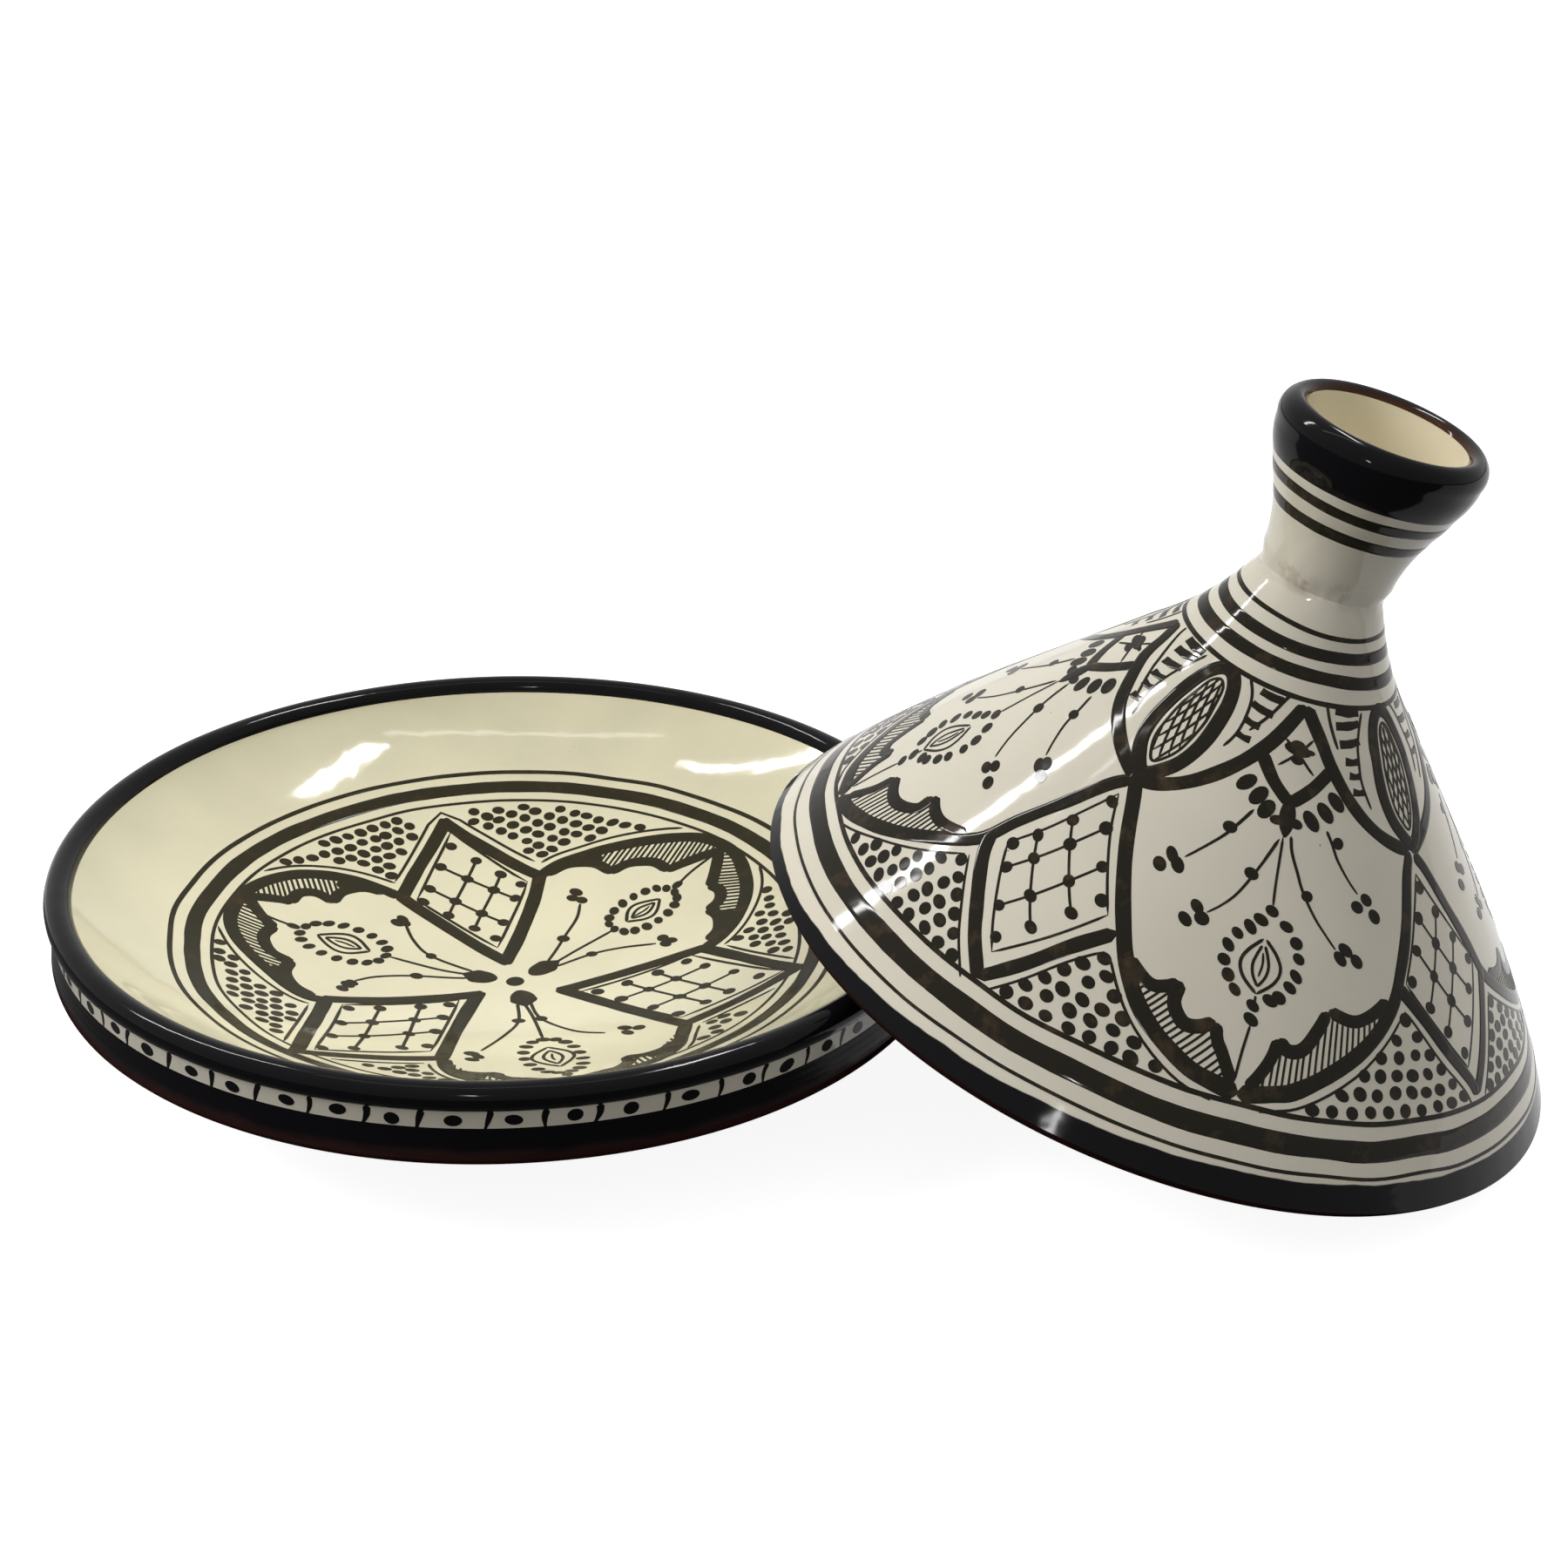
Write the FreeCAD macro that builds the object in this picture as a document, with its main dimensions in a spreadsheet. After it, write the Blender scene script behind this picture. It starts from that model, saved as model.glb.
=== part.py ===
"""Two-piece glazed earthenware tagine: a shallow footed dish, and a conical lid that leans on it.

The dish stands on its foot ring and +Z is up. The lid has been lifted off: its seat is held
up by the dish's lip on one side and by the ground on the other. The origin is on the ground,
in the middle of the pair.
Every pot is a turned shape, so each clay piece is one outline, revolved about its own axis.
"""
import FreeCAD, Part
import Sketcher
import math
import os

# name, value in millimetres or degrees, what it is
SIZES = [
    ("glaze_thickness", 0.5, "fired glaze coat"),
    ("dish_radius", 150.0, "dish, outside of the glazed lip"),
    ("dish_height", 61.3, "ground to the top of the glazed lip"),
    ("lip_roll", 4.5, "radius of the glazed rolled lip"),
    ("lip_tuck", 3.6, "middle of the lip's roll down to the lower edge of its glaze"),
    ("bowl_floor", 13.9, "ground to the glazed floor at the centre"),
    ("bowl_curve", 283.0, "radius of the shallow floor"),
    ("bowl_bend", 112.0, "radius where the floor turns up into the wall"),
    ("wall_curve", 95.0, "radius of the inside wall"),
    ("waist_height", 47.3, "ground to the waist of the outside wall"),
    ("waist_inset", 2.2, "outside of the lip to the outside wall at its waist"),
    ("wall_glaze_height", 41.0, "ground to the lower edge of the outside glaze"),
    ("wall_glaze_inset", 1.1, "outside of the lip to the glazed wall there"),
    ("skirt_inset", 0.8, "outside of the lip to the bare wall at its lower edge"),
    ("skirt_height", 34.6, "ground to the underside of the wall"),
    ("skirt_round", 3.0, "rounding of the wall's lower edge"),
    ("under_curve", 130.0, "radius of the hollow underside"),
    ("foot_radius", 80.0, "outside of the foot ring on the ground"),
    ("foot_width", 10.0, "width of the foot ring's flat"),
    ("foot_flare", 6.0, "how far the foot ring spreads going up"),
    ("foot_height", 11.0, "height of the foot ring outside"),
    ("foot_recess", 4.0, "depth of the hollow inside the foot ring"),
    ("foot_slope", 2.0, "draft of the foot ring's inner face"),
    ("rim_height", 4.6, "seat to the lower edge of the lid's glaze"),
    ("rim_radius", 134.3, "glazed rim of the lid"),
    ("seat_inset", 4.7, "glazed rim to the outside of the lid's flat seat"),
    ("seat_width", 6.5, "width of the lid's flat seat"),
    ("seat_round", 7.0, "rounding of the bare edge above the seat"),
    ("rim_band_height", 12.2, "seat to the top of the dark rim band"),
    ("rim_band_inset", 5.0, "glazed rim to the cone there, along the radius"),
    ("belly_height", 70.0, "seat to the end of the swelling lower cone"),
    ("belly_radius", 80.6, "cone radius there"),
    ("belly_curve", 600.0, "radius of the swelling"),
    ("shoulder_height", 107.0, "seat to the end of the straight cone"),
    ("shoulder_radius", 46.2, "cone radius there"),
    ("cone_wall", 10.5, "cone wall, measured level"),
    ("crown_rise", 18.0, "end of the straight cone to the inside of its crown"),
    ("throat_height", 145.0, "seat to the top of the cone's clay"),
    ("throat_radius", 20.0, "cone radius there"),
    ("throat_curve", 105.0, "radius of the hollow below the neck"),
    ("spigot_radius", 14.0, "spigot that the knob is set on"),
    ("slip_thickness", 4.0, "ring of slip between the cone and the knob"),
    ("knob_base_swell", 1.4, "throat radius to the knob's base radius"),
    ("slip_curve", 3.0, "radius of the slip coil's swelling"),
    ("stem_height", 23.0, "knob's base to the end of its waist"),
    ("stem_swell", 6.1, "base radius to the knob radius there"),
    ("stem_curve", 60.0, "radius of the knob's waist"),
    ("knob_band_rise", 6.9, "end of the waist to the lower edge of the dark band"),
    ("knob_band_swell", 2.7, "further growth of the knob's radius there"),
    ("knob_belt_rise", 10.1, "edge of the dark band to the knob's widest line"),
    ("knob_belt_swell", 2.7, "further growth of the knob's radius there"),
    ("knob_swell_curve", 25.0, "radius of the knob's swelling below that line"),
    ("crest_rise", 8.2, "widest line to the crest of the knob's lip"),
    ("crest_inset", 3.7, "widest line to the crest, along the radius"),
    ("crest_curve", 6.6, "radius of the outside of the knob's lip"),
    ("mouth_drop", 2.2, "crest of the knob's lip to the mouth of its cup"),
    ("mouth_inset", 3.5, "crest to the mouth, along the radius"),
    ("mouth_curve", 3.6, "radius of the inside of the knob's lip"),
    ("cup_drop", 21.0, "mouth to the line where the cup's floor begins"),
    ("cup_taper", 4.2, "mouth to that line, along the radius"),
    ("cup_curve", 120.0, "radius of the cup's side"),
    ("cup_floor_drop", 16.0, "that line to the bottom of the cup"),
    ("lid_overlap", 57.7, "how far the lid reaches in over the dish, seen from above"),
    ("lid_bearing", -4.5, "direction of the lid from the dish, from X towards Y"),
    ("lean_bearing", -10.5, "direction in which the lid leans, from X towards Y"),
    ("rest_gap", 0.35, "clearance between the leaning lid and the dish"),
    ("pair_centre_x", 97.92, "dish's axis to the origin, along X"),
    ("pair_centre_y", -0.73, "the same along Y"),
]


class Size:
    """A number together with the expression that gives it in the spreadsheet."""

    def __init__(self, number, text):
        self.number = number
        self.text = text

    def _join(self, other, sign, number):
        other_text = other.text if isinstance(other, Size) else repr(float(other))
        return Size(number, f"({self.text} {sign} {other_text})")

    def __add__(self, other):
        return self._join(other, "+", self.number + value_of(other))

    def __sub__(self, other):
        return self._join(other, "-", self.number - value_of(other))

    def __mul__(self, other):
        return self._join(other, "*", self.number * value_of(other))

    def __truediv__(self, other):
        return self._join(other, "/", self.number / value_of(other))

    def root(self):
        return Size(math.sqrt(self.number), f"sqrt({self.text})")


def value_of(item):
    return item.number if isinstance(item, Size) else float(item)


def make_sheet(doc):
    """Write the driving sizes to a spreadsheet and return them by name."""
    sheet = doc.addObject("Spreadsheet::Sheet", "Sizes")
    sizes = {}
    for row, (name, value, note) in enumerate(SIZES, start=1):
        sheet.set(f"A{row}", name)
        sheet.set(f"B{row}", str(value))
        sheet.set(f"C{row}", note)
        sheet.setAlias(f"B{row}", name)
        sizes[name] = Size(value, f"Sizes.{name}")
    doc.recompute()
    return sizes


def plane_of(body, role):
    """Return one of the body's own origin planes."""
    return next(item for item in body.Origin.OriginFeatures if item.Role == role)


def arc_geometry(start, end, radius, left):
    """Return the arc from start to end whose centre is on the left or right, and whether it is reversed."""
    (x0, y0), (x1, y1) = start, end
    half = math.hypot(x1 - x0, y1 - y0) / 2
    radius = max(radius, half)
    rise = math.sqrt(radius * radius - half * half)
    side = 1 if left else -1
    cx = (x0 + x1) / 2 - side * rise * (y1 - y0) / (2 * half)
    cy = (y0 + y1) / 2 + side * rise * (x1 - x0) / (2 * half)
    first = math.atan2(y0 - cy, x0 - cx)
    last = math.atan2(y1 - cy, x1 - cx)
    if not left:
        first, last = last, first
    circle = Part.Circle(FreeCAD.Vector(cx, cy, 0), FreeCAD.Vector(0, 0, 1), radius)
    return Part.ArcOfCircle(circle, first, last), not left


def draw_outline(sketch, corners):
    """Draw a closed outline of lines and arcs; every corner and radius is tied to the sheet.

    A corner is (x, y) or (x, y, radius, left): the last two bend the step that arrives at it.
    """
    ends = []
    count = len(corners)
    for i, corner in enumerate(corners):
        before = corners[i - 1]
        start = (value_of(before[0]), value_of(before[1]))
        end = (value_of(corner[0]), value_of(corner[1]))
        if len(corner) == 2:
            line = Part.LineSegment(FreeCAD.Vector(*start, 0), FreeCAD.Vector(*end, 0))
            ends.append((sketch.addGeometry(line, False), 1, 2))
        else:
            arc, turned = arc_geometry(start, end, value_of(corner[2]), corner[3])
            index = sketch.addGeometry(arc, False)
            ends.append((index, 2, 1) if turned else (index, 1, 2))
            tie(sketch, Sketcher.Constraint("Radius", index, value_of(corner[2])), corner[2])
    for i in range(count):
        index, first, _ = ends[i]
        last_index, _, last = ends[i - 1]
        sketch.addConstraint(Sketcher.Constraint("Coincident", last_index, last, index, first))
    for (x, y, *_), (index, _, last) in zip(corners, ends):
        place(sketch, "DistanceX", -2, index, last, x)
        place(sketch, "DistanceY", -1, index, last, y)


def place(sketch, kind, axis, index, point, size):
    """Hold one coordinate of a corner, on the axis where it is nought."""
    if value_of(size) == 0:
        sketch.addConstraint(Sketcher.Constraint("PointOnObject", index, point, axis))
    else:
        tie(sketch, Sketcher.Constraint(kind, -1, 1, index, point, value_of(size)), size)


def tie(sketch, constraint, size):
    """Add a dimension and bind it to the sheet."""
    number = sketch.addConstraint(constraint)
    if isinstance(size, Size):
        sketch.setExpression(f"Constraints[{number}]", size.text)


def turned_piece(doc, name, corners):
    """Make a body by revolving an outline about its own upright axis."""
    body = doc.addObject("PartDesign::Body", name)
    body.Label = name
    sketch = body.newObject("Sketcher::SketchObject", name + "_outline")
    sketch.AttachmentSupport = (plane_of(body, "XZ_Plane"), [""])
    sketch.MapMode = "FlatFace"
    draw_outline(sketch, corners)
    turn = body.newObject("PartDesign::Revolution", name + "_turned")
    turn.Profile = sketch
    turn.ReferenceAxis = (sketch, ["V_Axis"])
    turn.Angle = 360.0
    body.Tip = turn
    doc.recompute()
    return body


# A skin is the outside of a pot as fired. Each of its corners is (x, z, out_x, out_z) or the same
# with (radius, left) added: out_x and out_z say which way is out of the clay at that corner.

def clay_side(skin, coat):
    """Corners of the clay below a skin that is one coat thick."""
    return [(x - coat * out_x, z - coat * out_z, *bend) for x, z, out_x, out_z, *bend in skin]


def air_side(skin):
    """Corners of the outside of a skin."""
    return [(x, z, *bend) for x, z, _, _, *bend in skin]


def backwards(corners):
    """The same corners met in the other order, with every bend on the step it belongs to."""
    result = [corners[-1][:2]]
    for corner, previous in zip(reversed(corners[1:]), reversed(corners[:-1])):
        bend = (corner[2], not corner[3]) if len(corner) == 4 else ()
        result.append((*previous[:2], *bend))
    return result


def coat_outline(skin, coat):
    """Section of the glaze itself: out along its outside and back along the clay."""
    outside = air_side(skin)
    outside[0] = outside[0][:2]
    inside = clay_side(skin, coat)
    inside[0] = inside[0][:2]
    return outside + backwards(inside)


def dish_bowl_skin(s):
    """Inside of the dish, from the middle of the floor out to the lip."""
    curve = s["bowl_curve"]
    bend = s["bowl_bend"]
    bend_height = s["bowl_floor"] + curve - (curve * curve - bend * bend).root()
    lip_x = s["dish_radius"] - s["lip_roll"]
    lip_z = s["dish_height"] - s["lip_roll"]
    return [
        (s["dish_radius"] * 0, s["bowl_floor"], 0, 1),
        (bend, bend_height, 0, 1, curve, True),
        (lip_x - s["lip_roll"], lip_z, -1, 0, s["wall_curve"], True),
    ]


def dish_lip_skin(s):
    """Rolled lip of the dish, from the inside over the top to the outside."""
    roll = s["lip_roll"]
    tuck = s["lip_tuck"]
    lip_x = s["dish_radius"] - roll
    lip_z = s["dish_height"] - roll
    out = (roll * roll - tuck * tuck).root()
    return [
        dish_bowl_skin(s)[-1],
        (lip_x, lip_z + roll, 0, 1, roll, False),
        (lip_x + out, lip_z - tuck, out / roll, tuck / roll * -1, roll, False),
    ]


def dish_lip_coat(s):
    """Section of the lip's glaze, whose inner side is rolled tighter than its outside."""
    coat = s["glaze_thickness"]
    skin = dish_lip_skin(s)
    start, *bends = clay_side(skin, coat)
    inside = [start[:2]] + [(x, z, radius - coat, left) for x, z, radius, left in bends]
    return [skin[0][:2], *air_side(skin)[1:], *backwards(inside)]


def dish_wall_skin(s):
    """Outside wall of the dish, from the lip down to where the glaze stops."""
    return [
        dish_lip_skin(s)[-1],
        ((s["dish_radius"] - s["waist_inset"]), s["waist_height"], 1, 0),
        ((s["dish_radius"] - s["wall_glaze_inset"]), s["wall_glaze_height"], 1, 0),
    ]


def dish_outline(s):
    """Clay of the dish, from the middle of the floor over the lip to the middle of the underside."""
    coat = s["glaze_thickness"]
    foot_inside = s["foot_radius"] - s["foot_width"]
    lip = clay_side(dish_lip_skin(s), coat)
    lip[1:] = [(x, z, radius - coat, left) for x, z, radius, left in lip[1:]]
    skirt = s["dish_radius"] - s["skirt_inset"]
    return [
        *clay_side(dish_bowl_skin(s), coat),
        *lip[1:],
        *clay_side(dish_wall_skin(s)[1:], coat),
        (skirt, s["skirt_height"] + s["skirt_round"]),
        (skirt - s["skirt_round"], s["skirt_height"], s["skirt_round"], False),
        (s["foot_radius"] + s["foot_flare"], s["foot_height"], s["under_curve"], True),
        (s["foot_radius"], 0),
        (foot_inside, 0),
        (foot_inside - s["foot_slope"], s["foot_recess"]),
        (0, s["foot_recess"]),
    ]


def knob_stations(s):
    """Heights above the seat and radii of the knob's outline, each counted on from the one below."""
    base = (s["throat_radius"] + s["knob_base_swell"], s["throat_height"] + s["slip_thickness"])
    stem = (base[0] + s["stem_swell"], base[1] + s["stem_height"])
    band = (stem[0] + s["knob_band_swell"], stem[1] + s["knob_band_rise"])
    belt = (band[0] + s["knob_belt_swell"], band[1] + s["knob_belt_rise"])
    crest = (belt[0] - s["crest_inset"], belt[1] + s["crest_rise"])
    mouth = (crest[0] - s["mouth_inset"], crest[1] - s["mouth_drop"])
    cup = (mouth[0] - s["cup_taper"], mouth[1] - s["cup_drop"])
    return {"base": base, "stem": stem, "band": band, "belt": belt, "crest": crest,
            "mouth": mouth, "cup": cup}


def lid_seat(s):
    """Radius of the outside of the lid's flat seat."""
    return s["rim_radius"] - s["seat_inset"]


def lid_rim_skin(s):
    """Dark band round the lid's rim."""
    return [
        (s["rim_radius"], s["rim_height"], 1, 0),
        (s["rim_radius"] - s["rim_band_inset"], s["rim_band_height"], 1, 0),
    ]


def lid_cone_skin(s):
    """Cone of the lid, from the rim band up to the neck."""
    return [
        lid_rim_skin(s)[-1],
        (s["belly_radius"], s["belly_height"], 1, 0, s["belly_curve"], True),
        (s["shoulder_radius"], s["shoulder_height"], 1, 0),
        (s["throat_radius"], s["throat_height"], 1, 0, s["throat_curve"], False),
    ]


def slip_skin(s):
    """Swelling of the slip coil in the neck."""
    return [
        lid_cone_skin(s)[-1],
        (*knob_stations(s)["base"], 1, 0, s["slip_curve"], True),
    ]


def knob_side_skin(s):
    """Waist of the knob, from the slip coil up to its dark band."""
    at = knob_stations(s)
    return [
        slip_skin(s)[-1],
        (*at["stem"], 1, 0, s["stem_curve"], False),
        (*at["band"], 1, 0),
    ]


def knob_lip_skin(s):
    """Dark lip of the knob, from its outside over the crest into the mouth."""
    at = knob_stations(s)
    return [
        knob_side_skin(s)[-1],
        (*at["belt"], 1, 0, s["knob_swell_curve"], True),
        (*at["crest"], 0, 1, s["crest_curve"], True),
        (*at["mouth"], -1, 0, s["mouth_curve"], True),
    ]


def knob_cup_skin(s):
    """Inside of the cup on top of the knob, from its mouth to the middle of its floor."""
    depth = s["cup_floor_drop"]
    cup_radius, cup_height = knob_stations(s)["cup"]
    floor_curve = (cup_radius * cup_radius + depth * depth) / (depth * 2)
    return [
        knob_lip_skin(s)[-1],
        (cup_radius, cup_height, -1, 0, s["cup_curve"], False),
        (cup_radius * 0, cup_height - depth, 0, 1, floor_curve, False),
    ]


def cone_outline(s):
    """Clay of the lid's cone, from the inside of its seat, up the outside and back down inside."""
    coat = s["glaze_thickness"]
    inside_radius = s["shoulder_radius"] - s["cone_wall"]
    drop = s["crown_rise"]
    top = knob_stations(s)["base"][1]
    crown_curve = (inside_radius * inside_radius + drop * drop) / (drop * 2)
    rim = clay_side(lid_rim_skin(s), coat)
    return [
        (lid_seat(s) - s["seat_width"], 0, s["belly_curve"], False),
        (lid_seat(s), 0),
        (*rim[0], s["seat_round"], True),
        rim[1],
        *clay_side(lid_cone_skin(s)[1:], coat),
        (s["spigot_radius"], s["throat_height"]),
        (s["spigot_radius"], top),
        (0, top),
        (0, s["shoulder_height"] + drop),
        (inside_radius, s["shoulder_height"], crown_curve, False),
        (s["belly_radius"] - s["cone_wall"], s["belly_height"]),
    ]


def slip_outline(s):
    """Ring of slip that joins the knob to the cone, outside the spigot."""
    low, high = clay_side(slip_skin(s), s["glaze_thickness"])
    return [
        (s["spigot_radius"], s["throat_height"]),
        low[:2],
        high,
        (s["spigot_radius"], high[1]),
    ]


def knob_outline(s):
    """Clay of the cup-shaped knob, from its base, up the outside and down into the cup."""
    coat = s["glaze_thickness"]
    return [
        (0, knob_stations(s)["base"][1]),
        clay_side(knob_side_skin(s), coat)[0][:2],
        *clay_side(knob_side_skin(s)[1:], coat),
        *clay_side(knob_lip_skin(s)[1:], coat),
        *clay_side(knob_cup_skin(s)[1:], coat),
    ]


def lid_reach(s, lean):
    """Level distance from the dish's axis to the middle of the leaning lid's seat."""
    seat = value_of(lid_seat(s))
    return value_of(s["dish_radius"]) + seat * math.cos(lean) - value_of(s["lid_overlap"])


def seat_gap(s, lean):
    """Least distance between the seat of a lid that leans so far and the rolled lip of the dish."""
    where = math.radians(value_of(s["lid_bearing"]))
    bearing = math.radians(value_of(s["lean_bearing"]))
    seat = value_of(lid_seat(s))
    inner = seat - value_of(s["seat_width"])
    roll = value_of(s["lip_roll"])
    lip = value_of(s["dish_radius"]) - roll
    reach = lid_reach(s, lean)
    middle = FreeCAD.Vector(reach * math.cos(where), reach * math.sin(where), seat * math.sin(lean))
    level = FreeCAD.Vector(math.cos(bearing), math.sin(bearing), 0)
    axis = level * math.sin(lean) + FreeCAD.Vector(0, 0, math.cos(lean))
    gap = seat
    for step in range(LIP_STEPS):
        turn = 2 * math.pi * step / LIP_STEPS
        point = FreeCAD.Vector(lip * math.cos(turn), lip * math.sin(turn), value_of(s["dish_height"]) - roll)
        below = (middle - point).dot(axis)
        spread = (point - middle + axis * below).Length
        beside = max(inner - spread, spread - seat, 0)
        gap = min(gap, (math.hypot(below, beside) if beside else below) - roll)
    return gap


def resting_lean(s):
    """Lean at which the lid clears the dish's lip by the rest gap, in radians."""
    low, high = 0.0, STEEPEST_LEAN
    for _ in range(SOLVER_STEPS):
        middle = (low + high) / 2
        if seat_gap(s, middle) < value_of(s["rest_gap"]):
            low = middle
        else:
            high = middle
    return high


def stand_dish(body):
    """Move a dish piece from the origin to the place where the dish stands."""
    body.setExpression(".Placement.Base.x", "-Sizes.pair_centre_x")
    body.setExpression(".Placement.Base.y", "-Sizes.pair_centre_y")


def lean_lid(body, seat):
    """Tilt a lid piece about its seat, its low edge on the ground and its high edge over the dish."""
    reach = f"(Sizes.dish_radius + {seat.text} * cos(Sizes.lid_lean) - Sizes.lid_overlap)"
    body.setExpression(".Placement.Base.x", reach + " * cos(Sizes.lid_bearing) - Sizes.pair_centre_x")
    body.setExpression(".Placement.Base.y", reach + " * sin(Sizes.lid_bearing) - Sizes.pair_centre_y")
    body.setExpression(".Placement.Base.z", seat.text + " * sin(Sizes.lid_lean)")
    body.setExpression(".Placement.Rotation.Axis.x", "-sin(Sizes.lean_bearing)")
    body.setExpression(".Placement.Rotation.Axis.y", "cos(Sizes.lean_bearing)")
    body.setExpression(".Placement.Rotation.Axis.z", "0")
    body.setExpression(".Placement.Rotation.Angle", "Sizes.lid_lean")


def check(doc, dish_pieces, lid_pieces, rest_gap):
    """Stop if an object failed, a sub-part is not one sound solid, or the lid touches the dish."""
    failed = [item.Name for item in doc.Objects if {"Invalid", "Error"} & set(item.State)]
    if failed:
        raise RuntimeError("failed objects: " + ", ".join(failed))
    for piece in dish_pieces + lid_pieces:
        shape = piece.Shape
        if shape.isNull() or not shape.isValid() or len(shape.Solids) != 1:
            raise RuntimeError(f"{piece.Label} is not one valid solid")
        box = shape.BoundBox
        print(f"{piece.Label}: {shape.Volume / 1000:.1f} cm3, "
              f"x {box.XMin:.2f} to {box.XMax:.2f}, y {box.YMin:.2f} to {box.YMax:.2f}, "
              f"z {box.ZMin:.2f} to {box.ZMax:.2f}")
    gap = min(low.Shape.distToShape(high.Shape)[0] for low in dish_pieces for high in lid_pieces)
    print(f"lid clears the dish by {gap:.3f}")
    if gap < rest_gap * LEAST_SHARE:
        raise RuntimeError("the lid is too close to the dish")


# The search for the resting lean: points round the lip, halvings, and the steepest lean it tries.
LIP_STEPS = 1440
SOLVER_STEPS = 30
STEEPEST_LEAN = math.radians(60)
# The part of the rest gap that has to be left once the solids are built.
LEAST_SHARE = 0.8


def main():
    doc = FreeCAD.newDocument("tagine")
    s = make_sheet(doc)
    lean_row = len(SIZES) + 1
    doc.Sizes.set(f"A{lean_row}", "lid_lean")
    doc.Sizes.set(f"B{lean_row}", str(math.degrees(resting_lean(s))))
    doc.Sizes.set(f"C{lean_row}", "angle between the lid's axis and the upright")
    doc.Sizes.setAlias(f"B{lean_row}", "lid_lean")
    coat = s["glaze_thickness"]
    dish_pieces = [
        turned_piece(doc, "dish_body", dish_outline(s)),
        turned_piece(doc, "dish_bowl_glaze", coat_outline(dish_bowl_skin(s), coat)),
        turned_piece(doc, "dish_lip_glaze", dish_lip_coat(s)),
        turned_piece(doc, "dish_wall_glaze", coat_outline(dish_wall_skin(s), coat)),
    ]
    lid_pieces = [
        turned_piece(doc, "lid_cone", cone_outline(s)),
        turned_piece(doc, "neck_slip_coil", slip_outline(s)),
        turned_piece(doc, "lid_knob", knob_outline(s)),
        turned_piece(doc, "lid_rim_glaze", coat_outline(lid_rim_skin(s), coat)),
        turned_piece(doc, "lid_cone_glaze", coat_outline(lid_cone_skin(s), coat)),
        turned_piece(doc, "knob_side_glaze", coat_outline(slip_skin(s) + knob_side_skin(s)[1:], coat)),
        turned_piece(doc, "knob_lip_glaze", coat_outline(knob_lip_skin(s), coat)),
        turned_piece(doc, "knob_cup_glaze", coat_outline(knob_cup_skin(s), coat)),
    ]
    for piece in dish_pieces:
        stand_dish(piece)
    for piece in lid_pieces:
        lean_lid(piece, lid_seat(s))
    doc.recompute()
    check(doc, dish_pieces, lid_pieces, s["rest_gap"].number)
    os.makedirs("parts", exist_ok=True)
    for piece in dish_pieces + lid_pieces:
        piece.Shape.exportStep(f"parts/{piece.Label}.step")


main()
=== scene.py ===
"""Painted tagine: a turned dish and a leaning conical lid, with their glazes and brushwork.

Lengths are in millimetres up to the point where a mesh is made, and in metres from there on.
Each pot is shaped about its own upright axis and only then moved to where it stands.
"""
import itertools
import math
import random

import bmesh
import bpy
from mathutils import Matrix, Vector, noise


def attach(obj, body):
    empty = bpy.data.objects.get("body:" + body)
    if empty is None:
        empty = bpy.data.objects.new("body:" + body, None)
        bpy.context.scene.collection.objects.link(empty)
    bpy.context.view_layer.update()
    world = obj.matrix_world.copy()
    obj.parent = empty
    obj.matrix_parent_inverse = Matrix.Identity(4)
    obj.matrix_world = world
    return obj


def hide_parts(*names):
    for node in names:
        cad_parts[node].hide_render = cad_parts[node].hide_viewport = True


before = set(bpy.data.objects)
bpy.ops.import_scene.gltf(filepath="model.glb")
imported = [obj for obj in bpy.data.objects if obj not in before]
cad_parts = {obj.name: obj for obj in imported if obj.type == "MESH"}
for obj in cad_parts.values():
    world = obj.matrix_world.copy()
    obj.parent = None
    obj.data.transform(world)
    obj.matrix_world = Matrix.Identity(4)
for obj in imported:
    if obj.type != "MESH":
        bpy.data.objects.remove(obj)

bl_info = {
    "name": "Painted tagine",
    "version": (1, 0, 0),
    "blender": (4, 5, 0),
    "location": "View3D > Sidebar > Tagine",
    "description": "Builds a glazed and painted tagine on its CAD frame",
    "category": "Object",
}

MM = 0.001
COAT = 0.5
PACE = 2.5
FINE_PACE = 0.5
FACET_TURN = 0.2
ON_AXIS = 1e-6
FLATTEST_WALL = 0.2
DISH_AXIS = Vector((-97.92, 0.73, 0.0))
LID_SEAT = Vector((117.975, -16.261, 36.808))
LID_LEAN = math.radians(16.5)
LEAN_BEARING = math.radians(-10.5)
DISH_PLACE = Matrix.Translation(DISH_AXIS * MM)
LEAN_AXIS = Vector((-math.sin(LEAN_BEARING), math.cos(LEAN_BEARING), 0.0))
LID_PLACE = Matrix.Translation(LID_SEAT * MM) @ Matrix.Rotation(LID_LEAN, 4, LEAN_AXIS)


# ---------------------------------------------------------------- outlines

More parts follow.
